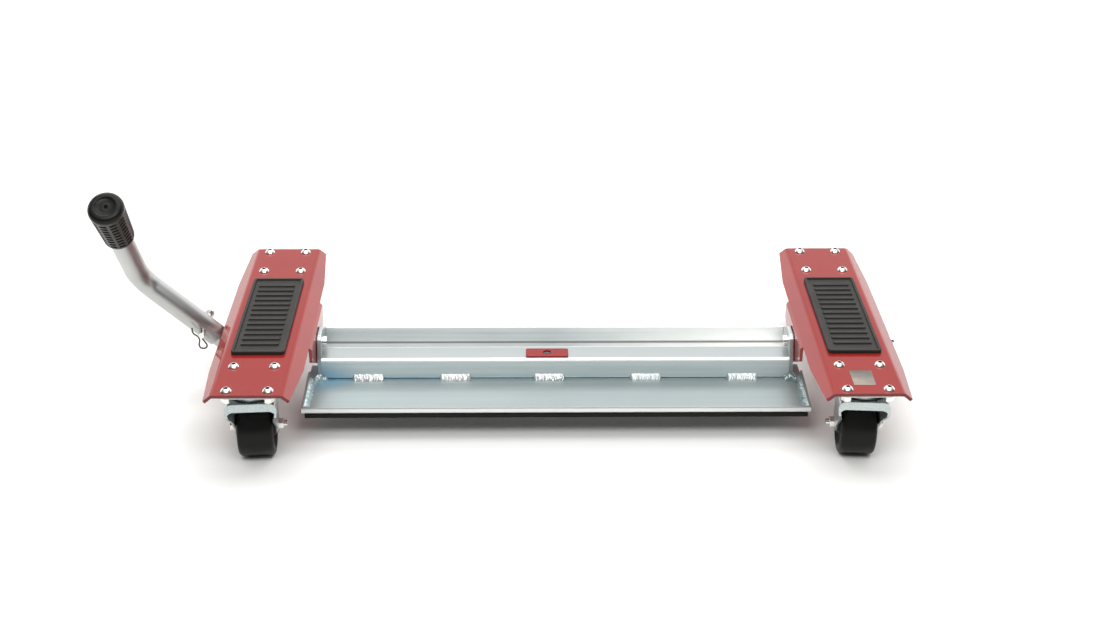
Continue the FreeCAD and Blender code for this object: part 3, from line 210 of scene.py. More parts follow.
# Radius and depth of the hollow, the low boss and the air hole in the closed end
GRIP_END = (
    (0.0141, 0.0), (0.0132, 0.0002), (0.0124, 0.0011), (0.0112, 0.0016), (0.0085, 0.0021), (0.0056, 0.0023),
    (0.0044, 0.0019), (0.0034, 0.0019), (0.0024, 0.0026), (0.0016, 0.0030), (0.0015, 0.0050),
    (GRIP_CORE, 0.0050),
)


def grip_mesh(name, seat, up):
    """A turned hand grip with lengthwise ridges and, between them, ladders of pits.

    The profile runs from the bore over the open lip, along a slowly widening side and round the rim to an end
    with a hollow, a low boss and an air hole. A pit's depth is the product of a window round the grip and a
    window along it.
    """
    bottom = GRIP_CAP - GRIP_LENGTH
    quarter = np.linspace(0, np.pi / 2, ROUND_STEPS)
    lip = np.array([(GRIP_CORE, 0), (GRIP_BORE, 0), (GRIP_BORE, bottom)])
    lip_round = np.stack([
        GRIP_OPEN - GRIP_LIP * (1 - np.sin(quarter)), bottom + GRIP_LIP * (1 - np.cos(quarter))], 1)
    rise = np.linspace(0, 1, RUNGS * RUNG_STEPS)[1:]
    side_low, side_high = bottom + GRIP_LIP, GRIP_CAP - GRIP_RIM
    side = np.stack([
        GRIP_OPEN + (GRIP_CLOSED - GRIP_OPEN) * rise, side_low + (side_high - side_low) * rise], 1)
    rim = np.stack([
        GRIP_CLOSED - GRIP_RIM * (1 - np.cos(quarter)), side_high + GRIP_RIM * np.sin(quarter)], 1)[1:]
    end = np.array(GRIP_END) * (1, -1) + (0, GRIP_CAP)
    profile = np.concatenate([lip, lip_round, side, rim, end])

    turn = np.linspace(0, 2 * np.pi, RIDGES * RIDGE_STEPS, endpoint=False)
    climbed = (profile[:, 1] - side_low) / (side_high - side_low)
    rung = climbed * (RUNGS + 2 * RUNG_MARGIN) - RUNG_MARGIN
    on_side = np.zeros(len(profile))
    on_side[len(lip) + len(lip_round):][:len(side)] = 1
    along = soft_step(np.cos(2 * np.pi * (rung - 0.5)), *PIT_ALONG) * on_side * (rung > 0) * (rung < RUNGS)
    around = soft_step(np.cos(RIDGES * turn), *PIT_AROUND)
    radius = profile[:, :1] - PIT_DEPTH * along[:, None] * around

    up = np.array(up)
    level = np.array((1.0, 0.0, 0.0))
    spokes = np.cos(turn)[:, None] * level + np.sin(turn)[:, None] * np.cross(up, level)
    rings = np.array(seat) + profile[:, 1, None, None] * up + radius[..., None] * spokes
    return skin(name, rings)


# Lever tube
LEVER_LEAN = math.radians(42.5)
LEVER_BORE = 0.0125
LEVER_FIRST, LEVER_SECOND, LEVER_BEND = 0.144, 0.190, 0.045
LEVER_FOOT, LEVER_DEEP = 0.014, 0.064
LEVER_ROUND, LEVER_CORE = 0.001, 0.0005
LEVER_STEPS, LEVER_AROUND = 40, 72


def lever_mesh(name, top, up):
    """A bent round tube: circles square to a line of two straight stretches joined by an arc.

    The skin runs from inside the bore round the open foot and along the outside to the end in the grip.
    """
    up = np.array(up)
    lean = np.array((-math.cos(LEVER_LEAN), 0.0, math.sin(LEVER_LEAN)))
    corner = np.array(top) - LEVER_SECOND * up
    turned = math.acos(lean @ up)
    tangent = LEVER_BEND * math.tan(turned / 2)
    inward = (up - math.cos(turned) * lean) / math.sin(turned)
    bend = np.linspace(0, turned, LEVER_STEPS)[:, None]
    arc = corner - tangent * lean + LEVER_BEND * (np.sin(bend) * lean + (1 - np.cos(bend)) * inward)
    arc_ahead = np.cos(bend) * lean + np.sin(bend) * inward
    foot = corner - LEVER_FIRST * lean
    rounded = LEVER_ROUND * np.array([0.0, 0.3, 1.0])
    low = np.concatenate([[LEVER_DEEP, LEVER_DEEP, LEVER_FOOT], LEVER_FOOT + rounded])
    path = np.concatenate([foot + low[:, None] * lean, arc, [top]])
    ahead = np.concatenate([np.broadcast_to(lean, (len(low), 3)), arc_ahead, [up]])
    radius = np.full(len(path), LEVER_RADIUS)
    radius[:len(low)] = LEVER_CORE, LEVER_BORE, LEVER_BORE, *(LEVER_RADIUS - rounded[::-1])
    square = np.cross(lean, inward)
    turn = np.linspace(0, 2 * np.pi, LEVER_AROUND, endpoint=False)[:, None]
    spokes = np.cos(turn) * square + np.sin(turn) * np.cross(ahead, square)[:, None]
    return skin(name, path[:, None] + radius[:, None, None] * spokes)


# Where the lever ends inside the grip, and the way that it points there
grip_low, grip_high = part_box("lever_grip")
lever_low, lever_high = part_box("lever_tube")
grip_up = (0.0, -math.sin(LEVER_RAKE), math.cos(LEVER_RAKE))
grip_seat = (
    (grip_low.x + grip_high.x) / 2,
    lever_low.y + LEVER_RADIUS * math.cos(LEVER_RAKE),
    lever_high.z - LEVER_RADIUS * math.sin(LEVER_RAKE),
)


# Weld metal
RIPPLE_STEPS, BEAD_AROUND = 9, 13
# Share of a leg over which an end is rounded, and the least that is left at the tip
BEAD_END, BEAD_TIP = 0.45, 0.03
# Shares of the straight line and of the quarter circle in a bead's skin
BEAD_FLAT, BEAD_ROUND = 0.55, 0.45
PUDDLE_BOW = 0.8
LUMP_SHARE = 0.6
# Number of sines in a ragged line, and their least and greatest radians to a metre
LEG_WAVES, LUMP_WAVES = (6, 150, 900), (5, 300, 1600)
DROP_CLIMB = 0.97
DROP_STEPS, DROP_AROUND = 14, 44
# Height and number of the waves round a drop, and how far they twist up it
DROP_LUMPS = ((0.20, 2), (0.13, 5), (0.09, 8))
DROP_TWIST = 3


def wander(distance, random, waves, low, high):
    """A ragged line from -1 to 1: the mean of a few sines of random length and phase."""
    steps = random.uniform(low, high, waves)
    phases = random.uniform(0, 2 * np.pi, waves)
    return np.sin(distance[:, None] * steps + phases).mean(1)


def bead_rings(start, end, wall, rise, leg, seed, ragged, ripple, swell):
    """A fillet weld in the corner between two faces, as rings from start to end.

    wall and rise point along the two faces away from the corner. The skin lies between the straight line from
    leg to leg and a quarter circle. Both legs wander, a curved ripple marks each puddle, and the ends are
    rounded.
    """
    random = np.random.default_rng(seed)
    start, end, wall, rise = (np.array(v, float) for v in (start, end, wall, rise))
    length = np.linalg.norm(end - start)
    distance = np.linspace(0, length, int(length / ripple * RIPPLE_STEPS))
    from_end = np.minimum(distance, length - distance)
    ends = np.sqrt(np.clip(1 - (1 - np.clip(from_end / (leg * BEAD_END), 0, 1)) ** 2, BEAD_TIP, 1))
    legs = [leg * (1 - ragged + ragged * wander(distance, random, *LEG_WAVES)) * ends for _ in range(2)]
    bend = np.linspace(0, np.pi / 2, BEAD_AROUND)
    crown = BEAD_FLAT / (np.cos(bend) + np.sin(bend)) + BEAD_ROUND
    puddle = np.sin(2 * np.pi * (distance[:, None] / ripple - PUDDLE_BOW * np.sin(2 * bend)))
    lumps = wander(distance, random, *LUMP_WAVES)[:, None] * np.sin(2 * bend)
    reach = crown * (1 + swell * puddle * np.sin(2 * bend) + ragged * LUMP_SHARE * lumps)
    spine = start + distance[:, None] / length * (end - start)
    arc = spine[:, None] + (reach * np.cos(bend) * legs[0][:, None])[..., None] * wall
    arc = arc + (reach * np.sin(bend) * legs[1][:, None])[..., None] * rise
    return np.concatenate([spine[:, None], arc], 1)


def mound_rings(middle, radius, height, seed):
    """A lumpy drop of weld metal: rings of a half ellipsoid, swollen by waves round it and up it."""
    random = np.random.default_rng(seed)
    climb = np.linspace(0, DROP_CLIMB, DROP_STEPS) * np.pi / 2
    turn = np.linspace(0, 2 * np.pi, DROP_AROUND, endpoint=False)
    phases = random.uniform(0, 6.28, len(DROP_LUMPS))
    twists = random.uniform(-DROP_TWIST, DROP_TWIST, len(DROP_LUMPS))
    lumps = sum(
        size * np.sin(waves * turn + phase + twist * climb[:, None])
        for (size, waves), phase, twist in zip(DROP_LUMPS, phases, twists)
    )
    reach = radius * np.cos(climb)[:, None] * (1 + lumps)
    up = np.broadcast_to(height * np.sin(climb)[:, None], reach.shape) * (1 + 0.5 * lumps)
    return np.array(middle) + np.stack([reach * np.cos(turn), reach * np.sin(turn), up], 2)


# Shader helpers
def add_node(tree, kind, values=None, **settings):
    """A shader node with some of its settings and input values."""
    made = tree.nodes.new(kind)
    for key, value in settings.items():
        setattr(made, key, value)
    for key, value in (values or {}).items():
        made.inputs[key].default_value = value
    return made


def effect_group(name, inputs, outputs):
    """An empty shader node group with named sockets: the tree, its input node and its output node."""
    tree = bpy.data.node_groups.new(name, "ShaderNodeTree")
    kinds = {"colour": "NodeSocketColor", "value": "NodeSocketFloat"}
    for label, kind, start in inputs:
        socket = tree.interface.new_socket(label, in_out="INPUT", socket_type=kinds[kind])
        socket.default_value = start
    for label, kind in outputs:
        tree.interface.new_socket(label, in_out="OUTPUT", socket_type=kinds[kind])
    return tree, tree.nodes.new("NodeGroupInput"), tree.nodes.new("NodeGroupOutput")


def object_noise(tree, scale, detail, stretch=(1, 1, 1), rough=0.5):
    """Noise on Object coordinates, stretched by a Mapping node."""
    place = add_node(tree, "ShaderNodeTexCoord")
    mapping = add_node(tree, "ShaderNodeMapping", {"Scale": stretch})
    noise = add_node(tree, "ShaderNodeTexNoise", {"Scale": scale, "Detail": detail, "Roughness": rough})
    tree.links.new(place.outputs["Object"], mapping.inputs["Vector"])
    tree.links.new(mapping.outputs["Vector"], noise.inputs["Vector"])
    return noise.outputs["Fac"]


def object_axes(tree):
    """X, Y and Z of Object coordinates."""
    place = add_node(tree, "ShaderNodeTexCoord")
    axes = add_node(tree, "ShaderNodeSeparateXYZ")
    tree.links.new(place.outputs["Object"], axes.inputs[0])
    return axes.outputs


def spread(tree, value, low, high, new_low, new_high, kind="LINEAR"):
    """A value from one range carried to another, clamped."""
    made = add_node(tree, "ShaderNodeMapRange", {
        "From Min": low, "From Max": high, "To Min": new_low, "To Max": new_high}, interpolation_type=kind)
    tree.links.new(value, made.inputs["Value"])
    return made.outputs["Result"]


def arithmetic(tree, operation, *sides):
    """One Math node; each side is a socket or a number."""
    made = add_node(tree, "ShaderNodeMath", operation=operation)
    for socket, side in zip(made.inputs, sides):
        if isinstance(side, bpy.types.NodeSocket):
            tree.links.new(side, socket)
        else:
            socket.default_value = side
    return made.outputs["Value"]


def off_from(tree, value, place):
    """How far a value lies from a place, either way."""
    return arithmetic(tree, "ABSOLUTE", arithmetic(tree, "SUBTRACT", value, place))


def colour_mix(tree, share, first, second, blend="MIX"):
    """Two colours mixed by a share; each is a socket or an RGBA value."""
    made = add_node(tree, "ShaderNodeMix", data_type="RGBA", blend_type=blend)
    pairs = ((made.inputs[0], share), (made.inputs[6], first), (made.inputs[7], second))
    for socket, side in pairs:
        if isinstance(side, bpy.types.NodeSocket):
            tree.links.new(side, socket)
        else:
            socket.default_value = side
    return made.outputs[2]


def between(tree, low, high, share):
    """low at share 0, high at share 1."""
    gap = arithmetic(tree, "SUBTRACT", high, low)
    return arithmetic(tree, "ADD", low, arithmetic(tree, "MULTIPLY", gap, share))


# Effects shared by several materials
# Stretches of a noise's values that are carried to a full range: clouds, patches, fine marks and rare specks
CLOUD_SPAN, PATCH_SPAN = (0.34, 0.68), (0.38, 0.7)
FINE_SPAN, SPECK_SPAN = (0.3, 0.7), (0.68, 0.78)
PAINT_DUST = (0.5, 0.4, 0.38, 1)
SEAM_BLUE, SEAM_BARE = (0.26, 0.50, 0.64, 1), (0.75, 0.84, 0.86, 1)


def make_plated_sheet():
    """Zinc plate: rolling streaks along X, clouds of passivation, fine speckle, and a height for bumps."""
    tree, start, end = effect_group("plated_sheet", [
        ("Tone", "colour", (0.6, 0.62, 0.62, 1)), ("Tint", "colour", (0.45, 0.55, 0.56, 1)),
        ("Cloud", "value", 0.5), ("Streak", "value", 0.3), ("Speckle", "value", 0.3),
        ("Smooth", "value", 0.2), ("Dull", "value", 0.42),
    ], [("Colour", "colour"), ("Roughness", "value"), ("Height", "value")])
    broad = object_noise(tree, scale=7, detail=3, stretch=(1, 2.2, 2.2))
    streak = object_noise(tree, scale=3, detail=4, stretch=(1, 46, 46), rough=0.55)
    speckle = object_noise(tree, scale=650, detail=3, rough=0.6)
    smear = object_noise(tree, scale=26, detail=4, stretch=(0.6, 1.4, 1.4), rough=0.55)
    cloud = spread(tree, broad, *CLOUD_SPAN, 0, 1, "SMOOTHSTEP")
    tinted = colour_mix(tree, arithmetic(tree, "MULTIPLY", cloud, start.outputs["Cloud"]),
                        start.outputs["Tone"], start.outputs["Tint"])
    rolled = spread(tree, streak, *FINE_SPAN, -0.5, 0.5)
    lines = arithmetic(tree, "MULTIPLY", rolled, start.outputs["Streak"])
    fine = spread(tree, speckle, *FINE_SPAN, -0.5, 0.5)
    specks = arithmetic(tree, "MULTIPLY", fine, start.outputs["Speckle"])
    shade = arithmetic(tree, "ADD", arithmetic(tree, "ADD", lines, specks), 1.0)
    grey = add_node(tree, "ShaderNodeCombineColor")
    for socket in grey.inputs[:3]:
        tree.links.new(shade, socket)
    tree.links.new(colour_mix(tree, 1.0, tinted, grey.outputs[0], "MULTIPLY"), end.inputs["Colour"])
    dullness = spread(tree, smear, *CLOUD_SPAN, 0, 1)
    rough = between(tree, start.outputs["Smooth"], start.outputs["Dull"], dullness)
    tree.links.new(rough, end.inputs["Roughness"])
    tree.links.new(between(tree, streak, speckle, start.outputs["Speckle"]), end.inputs["Height"])
    return tree


def make_paint_film():
    """Sprayed paint: slight clouds of colour, dull patches, dust, and the dimples of its skin as a height."""
    tree, start, end = effect_group("paint_film", [
        ("Paint", "colour", (0.4, 0.04, 0.03, 1)), ("Deep", "colour", (0.3, 0.02, 0.02, 1)),
        ("Gloss", "value", 0.2), ("Dull", "value", 0.34),
    ], [("Colour", "colour"), ("Roughness", "value"), ("Height", "value")])
    cloud = spread(tree, object_noise(tree, scale=12, detail=4, rough=0.55), *CLOUD_SPAN, 0, 1)
    peel = object_noise(tree, scale=420, detail=2)
    dust = spread(tree, object_noise(tree, scale=1500, detail=1), *SPECK_SPAN, 0, 0.08)
    base = colour_mix(tree, cloud, start.outputs["Paint"], start.outputs["Deep"])
    tree.links.new(colour_mix(tree, dust, base, PAINT_DUST), end.inputs["Colour"])
    rough = between(tree, start.outputs["Gloss"], start.outputs["Dull"], cloud)
    tree.links.new(rough, end.inputs["Roughness"])
    tree.links.new(peel, end.inputs["Height"])
    return tree


def make_moulded_skin():
    """Moulded rubber or plastic: fine grain as a height, bloom in pale patches, and specks of dust."""
    tree, start, end = effect_group("moulded_skin", [
        ("Black", "colour", (0.04, 0.04, 0.04, 1)), ("Bloom", "colour", (0.11, 0.11, 0.1, 1)),
        ("Patch", "value", 0.5), ("Gloss", "value", 0.45), ("Dull", "value", 0.7),
    ], [("Colour", "colour"), ("Roughness", "value"), ("Height", "value")])
    patch = spread(tree, object_noise(tree, scale=24, detail=6, rough=0.65), *PATCH_SPAN, 0, 1)
    grain = object_noise(tree, scale=1400, detail=3)
    speck = spread(tree, object_noise(tree, scale=700, detail=2), *SPECK_SPAN, 0, 0.3)
    share = arithmetic(tree, "MULTIPLY", patch, start.outputs["Patch"])
    base = colour_mix(tree, share, start.outputs["Black"], start.outputs["Bloom"])
    tree.links.new(colour_mix(tree, speck, base, start.outputs["Bloom"]), end.inputs["Colour"])
    rough = between(tree, start.outputs["Gloss"], start.outputs["Dull"], patch)
    tree.links.new(rough, end.inputs["Roughness"])
    tree.links.new(grain, end.inputs["Height"])
    return tree


def make_blue_seam():
    """Blue passivation along the seam of tube and tray, strongest at the left end, fading past the middle."""
    tree, start, end = effect_group(
        "blue_seam", [("Colour", "colour", (0.6, 0.62, 0.62, 1))], [("Colour", "colour")])
    x, y, z = object_axes(tree)
    from_seam = arithmetic(tree, "ADD", off_from(tree, y, tube_low.y), off_from(tree, z, FLOOR_Z))
    line = spread(tree, from_seam, 0.0008, 0.011, 1, 0, "SMOOTHERSTEP")
    edge = spread(tree, from_seam, 0.0004, 0.0022, 0.4, 0, "SMOOTHSTEP")
    from_left = arithmetic(tree, "SUBTRACT", x, tray_low.x)
    fading = spread(tree, from_left, 0.05, 0.46, 0.34, 0.05)
    pool = spread(tree, arithmetic(tree, "ADD", from_seam, arithmetic(tree, "MULTIPLY", from_left, 0.55)),
                  0.012, 0.06, 0.75, 0, "SMOOTHSTEP")
    share = arithmetic(tree, "MULTIPLY", arithmetic(tree, "ADD", line, edge), fading)
    share = arithmetic(tree, "MAXIMUM", share, pool)
    blue = colour_mix(tree, share, start.outputs["Colour"], SEAM_BLUE)
    bare = arithmetic(tree, "MULTIPLY", edge, spread(tree, from_left, 0.08, 0.25, 0, 1.6))
    tree.links.new(colour_mix(tree, bare, blue, SEAM_BARE), end.inputs["Colour"])
    return tree


plated_sheet = make_plated_sheet()
paint_film = make_paint_film()
moulded_skin = make_moulded_skin()
blue_seam = make_blue_seam()


# Marks and painted light that belong to one finish
SCREW_HEAD = 0.014
HOLE_ALONG = 0.0615
SOCKET_IN, SOCKET_OUT = 0.00292, 0.00305
# Painted highlight low on the tray's front fold, and painted shade above it
FOLD_HIGHLIGHT, FOLD_SHADE = (0.90, 0.91, 0.89, 1), (0.38, 0.40, 0.395, 1)
FLOOR_GREY = (0.25, 0.28, 0.28, 1)
# Painted highlight on the tube's rounded top edges, and painted shade on its flat top
EDGE_HIGHLIGHT, TOP_SHADE = (0.99, 0.99, 0.99, 1), (0.39, 0.42, 0.42, 1)
# A painted pool of light on the right of the back wall, and painted shade in its inner corner
WALL_LIGHT_POOL, WALL_CORNER_SHADE = (0.98, 0.98, 0.96, 1), (0.16, 0.16, 0.15, 1)
# Painted shade on the cut ends of the decks
CUT_END_SHADE = (0.13, 0.003, 0.005, 1)
SMEAR_GREY = (0.30, 0.335, 0.34, 1)
# Painted shade in the hex sockets of the deck screws
SOCKET_SHADE = (0.012, 0.012, 0.012, 1)
RIDGE_GREY = (0.055, 0.050, 0.046, 1)


def seamed(tree, colour):
    """A colour passed through the shared seam effect."""
    made = add_node(tree, "ShaderNodeGroup", node_tree=blue_seam)
    tree.links.new(colour, made.inputs["Colour"])
    return made.outputs["Colour"]


def tray_seam_and_painted_light(tree, colour):
    """The blue seam, a floor that is greyer to the right, and on the front fold a painted highlight low down
    with painted shade above it.
    """
    axes = object_axes(tree)
    front = spread(tree, axes["Y"], tray_low.y + 0.0014, tray_low.y + 0.0030, 0.8, 0, "SMOOTHSTEP")
    low = spread(tree, axes["Z"], tray_low.z + 0.0066, tray_low.z + 0.0080, 1, 0, "SMOOTHSTEP")
    # Painted highlight low on the front fold, painted shade higher up
    fold = colour_mix(tree, low, FOLD_SHADE, FOLD_HIGHLIGHT)
    shade = spread(tree, axes["X"], tray_low.x + 0.05, MID_X, 0, 0.35)
    floor = colour_mix(tree, shade, seamed(tree, colour), FLOOR_GREY)
    return colour_mix(tree, front, floor, fold)


def tube_seam_and_painted_light(tree, colour):
    """The blue seam, painted highlights on the two rounded top edges, and painted shade on the flat top
    between them.
    """
    axes = object_axes(tree)
    half = (tube_high.y - tube_low.y) / 2
    # Painted shade on the flat top between the rounded edges
    inside = spread(tree, off_from(tree, axes["Y"], tube_low.y + half), half - 0.0045, half - 0.0035, 1, 0)
    on_top = spread(tree, axes["Z"], tube_high.z - 0.0005, tube_high.z - 0.0002, 0, 1)
    dull = arithmetic(tree, "MULTIPLY", inside, on_top)
    # Painted highlight on the rounded top edges
    rounded = spread(tree, axes["Z"], tube_high.z - 0.004, tube_high.z - 0.003, 0, 1)
    bright = colour_mix(tree, rounded, seamed(tree, colour), EDGE_HIGHLIGHT)
    return colour_mix(tree, dull, bright, TOP_SHADE)


def wall_painted_light(tree, colour):
    """A painted pool of light that makes the zinc paler to the right, and painted shade in the inner corner
    of the fold.
    """
    axes = object_axes(tree)
    # Painted pool of light, paler to the right
    pale = spread(tree, axes["X"], MID_X, MID_X + 0.27, 0, 1)
    # Painted shade in the inner corner of the fold
    from_fold = arithmetic(tree, "ADD", off_from(tree, axes["Y"], back_high.y - TRAY_SHEET),
                           off_from(tree, axes["Z"], back_low.z + TRAY_SHEET))
    corner_shade = spread(tree, from_fold, 0.0005, 0.0035, 0.75, 0, "SMOOTHSTEP")
    paler = colour_mix(tree, pale, colour, WALL_LIGHT_POOL)
    return colour_mix(tree, corner_shade, paler, WALL_CORNER_SHADE)


def shaded_cut_ends(tree, colour):
    """Painted shade: deeper red on the cut ends of the decks, front and rear."""
    end = (deck_high.y - deck_low.y) / 2
    from_middle = off_from(tree, object_axes(tree)["Y"], SHAFT_Y)
    share = spread(tree, from_middle, end - 0.0012, end - 0.0006, 0, 0.75)
    return colour_mix(tree, share, colour, CUT_END_SHADE)


def dull_right(tree, colour):
    """Weld smears that are greyer at the right end of the tray."""
    share = spread(tree, object_axes(tree)["X"], MID_X - 0.1, MID_X + 0.1, 0, 0.65)
    return colour_mix(tree, share, colour, SMEAR_GREY)


def shaded_sockets(tree, colour):
    """Painted shade in the hex sockets of the deck screws, found by folding their pattern onto one screw."""
    x, y, z = object_axes(tree)
    across = off_from(tree, off_from(tree, x, MID_X), DECK_X - MID_X)
    across = off_from(tree, across, (screws_high.x - screws_low.x - SCREW_HEAD) / 2)
    swivel = (screws_high.y - screws_low.y - SCREW_HEAD - HOLE_ALONG) / 2
    along = off_from(tree, off_from(tree, off_from(tree, y, SHAFT_Y), swivel), HOLE_ALONG / 2)
    joined = add_node(tree, "ShaderNodeCombineXYZ")
    tree.links.new(across, joined.inputs[0])
    tree.links.new(along, joined.inputs[1])
    length = add_node(tree, "ShaderNodeVectorMath", operation="LENGTH")
    tree.links.new(joined.outputs[0], length.inputs[0])
    inside = spread(tree, length.outputs["Value"], SOCKET_IN, SOCKET_OUT, 1, 0)
    below = spread(tree, z, screws_high.z - 0.0003, screws_high.z - 0.0001, 1, 0)
    return colour_mix(tree, arithmetic(tree, "MULTIPLY", inside, below), colour, SOCKET_SHADE)


def paler_ridges(tree, colour):
    """Paler colour on the ridges of the hand grip, which are the points nearest to its widening side."""
    place = add_node(tree, "ShaderNodeTexCoord")
    from_seat = add_node(tree, "ShaderNodeVectorMath", {1: grip_seat}, operation="SUBTRACT")
    height = add_node(tree, "ShaderNodeVectorMath", {1: grip_up}, operation="DOT_PRODUCT")
    across = add_node(tree, "ShaderNodeVectorMath", {1: grip_up}, operation="CROSS_PRODUCT")
    radius = add_node(tree, "ShaderNodeVectorMath", operation="LENGTH")
    tree.links.new(place.outputs["Object"], from_seat.inputs[0])
    tree.links.new(from_seat.outputs[0], height.inputs[0])
    tree.links.new(from_seat.outputs[0], across.inputs[0])
    tree.links.new(across.outputs[0], radius.inputs[0])
    side = spread(
        tree, height.outputs["Value"], GRIP_CAP - GRIP_LENGTH, GRIP_CAP - GRIP_RIM, GRIP_OPEN, GRIP_CLOSED)
    sunk = arithmetic(tree, "SUBTRACT", side, radius.outputs["Value"])
    return colour_mix(tree, spread(tree, sunk, 0.0, 0.0006, 0.85, 0), colour, RIDGE_GREY)


# Finishes
GRAIN_DEPTH = 0.0003


def finish_of(name, effect, values, bump, depth, round_edge=0.0, mark=None, **shader_values):
    """A material: one shared effect feeds colour, roughness and bump of a Principled shader.

    round_edge is the radius over which a Bevel node softens the light on hard edges. mark changes the colour.
    """
    material = bpy.data.materials.new(name)
    material.use_nodes = True
    tree = material.node_tree
    shader = tree.nodes["Principled BSDF"]
    for key, value in shader_values.items():
        shader.inputs[key.replace("_", " ")].default_value = value
    made = add_node(tree, "ShaderNodeGroup", node_tree=effect)
    for key, value in values.items():
        made.inputs[key].default_value = value
    relief = add_node(tree, "ShaderNodeBump", {"Strength": bump, "Distance": depth})
    colour = made.outputs["Colour"]
    tree.links.new(mark(tree, colour) if mark else colour, shader.inputs["Base Color"])
    tree.links.new(made.outputs["Roughness"], shader.inputs["Roughness"])
    tree.links.new(made.outputs["Height"], relief.inputs["Height"])
    tree.links.new(relief.outputs["Normal"], shader.inputs["Normal"])
    if round_edge:
        soft = add_node(tree, "ShaderNodeBevel", {"Radius": round_edge}, samples=4)
        tree.links.new(soft.outputs["Normal"], relief.inputs["Normal"])
    return material


def zinc(
    name, tone, tint, cloud, streak, speckle, smooth, dull,
    bump=0.05, round_edge=0.0006, mark=None, metal=1.0,
):
    """A plated metal from its two tones, the strength of its marks and its range of roughness."""
    return finish_of(name, plated_sheet, {
        "Tone": (*tone, 1), "Tint": (*tint, 1), "Cloud": cloud, "Streak": streak, "Speckle": speckle,
        "Smooth": smooth, "Dull": dull,
    }, bump, GRAIN_DEPTH, round_edge, mark, Metallic=metal)


def rubber(name, black, bloom, patch, gloss, dull, bump, gleam, round_edge=0.0, mark=None):
    """A moulded black from its two tones, its range of roughness and how much it gleams."""
    return finish_of(name, moulded_skin, {
        "Black": (*black, 1), "Bloom": (*bloom, 1), "Patch": patch, "Gloss": gloss, "Dull": dull,
    }, bump, GRAIN_DEPTH, round_edge, mark, Specular_IOR_Level=gleam)


red_paint = finish_of("red_paint", paint_film, {
    "Paint": (0.30, 0.019, 0.015, 1), "Deep": (0.265, 0.015, 0.012, 1), "Gloss": 0.1, "Dull": 0.16,
}, bump=0.1, depth=0.0004, round_edge=0.0008, mark=shaded_cut_ends, Specular_IOR_Level=0.5)
tray_zinc = zinc(
    "tray_zinc", (0.37, 0.415, 0.415), (0.335, 0.395, 0.40), cloud=0.6, streak=0.10, speckle=0.02,
    smooth=0.37, dull=0.43, bump=0.02, mark=tray_seam_and_painted_light, metal=0.6)
# tube_zinc is tray_zinc at about twice the tone: a lit copy, painted light on the tube's shaded faces
tube_zinc = zinc(
    "tube_zinc", (0.80, 0.87, 0.87), (0.75, 0.84, 0.85), cloud=0.6, streak=0.10, speckle=0.02,
    smooth=0.37, dull=0.43, bump=0.02, mark=tube_seam_and_painted_light, metal=0.6)
back_zinc = zinc(
    "back_zinc", (0.67, 0.70, 0.695), (0.60, 0.64, 0.64), cloud=0.6, streak=0.26, speckle=0.02,
    smooth=0.37, dull=0.44, bump=0.02, mark=wall_painted_light, metal=0.6)
arm_zinc = zinc(
    "arm_zinc", (0.54, 0.57, 0.57), (0.44, 0.52, 0.54), cloud=0.7, streak=0.0, speckle=0.15,
    smooth=0.28, dull=0.38, metal=0.7)
caster_zinc = zinc(
    "caster_zinc", (0.50, 0.545, 0.545), (0.43, 0.49, 0.50), cloud=0.6, streak=0.0, speckle=0.35,
    smooth=0.26, dull=0.38, bump=0.12, round_edge=0.0009, metal=0.8)
lever_zinc = zinc(
    "lever_zinc", (0.50, 0.50, 0.49), (0.45, 0.46, 0.46), cloud=0.4, streak=0.0, speckle=0.06,
    smooth=0.36, dull=0.42, bump=0.02, round_edge=0.0)
screw_steel = zinc(
    "screw_steel", (0.80, 0.80, 0.76), (0.70, 0.71, 0.68), cloud=0.5, streak=0.0, speckle=0.10,
    smooth=0.14, dull=0.24, bump=0.05, round_edge=0.0004)
socket_steel = zinc(
    "socket_steel", (0.82, 0.82, 0.78), (0.74, 0.75, 0.71), cloud=0.5, streak=0.0, speckle=0.10,
    smooth=0.12, dull=0.22, bump=0.04, round_edge=0.0003, mark=shaded_sockets)
weld_metal = zinc(
    "weld_metal", (0.70, 0.72, 0.71), (0.50, 0.57, 0.57), cloud=0.7, streak=0.0, speckle=0.40,
    smooth=0.26, dull=0.40, bump=0.2, round_edge=0.0, metal=0.7)
smear_metal = zinc(
    "smear_metal", (0.70, 0.78, 0.78), (0.38, 0.58, 0.60), cloud=0.9, streak=0.0, speckle=0.50,
    smooth=0.26, dull=0.42, bump=0.3, round_edge=0.0, mark=dull_right, metal=0.6)
bush_bronze = zinc(
    "bush_bronze", (0.52, 0.38, 0.20), (0.40, 0.28, 0.15), cloud=0.6, streak=0.0, speckle=0.20,
    smooth=0.25, dull=0.45, bump=0.08, round_edge=0.0003)
clip_wire = zinc(
    "clip_wire", (0.11, 0.11, 0.105), (0.07, 0.07, 0.07), cloud=0.6, streak=0.0, speckle=0.15,
    smooth=0.22, dull=0.36, bump=0.05, round_edge=0.0)
blank_foil = zinc(
    "blank_foil", (0.27, 0.235, 0.20), (0.21, 0.19, 0.17), cloud=0.8, streak=0.25, speckle=0.30,
    smooth=0.34, dull=0.46, bump=0.1, round_edge=0.0)
pad_rubber = rubber(
    "pad_rubber", (0.020, 0.019, 0.016), (0.031, 0.029, 0.026), patch=0.6, gloss=0.55, dull=0.70,
    bump=0.3, gleam=0.3)
mat_rubber = rubber(
    "mat_rubber", (0.008, 0.008, 0.0075), (0.02, 0.02, 0.019), patch=0.5, gloss=0.6, dull=0.8,
    bump=0.3, gleam=0.15, round_edge=0.0006)
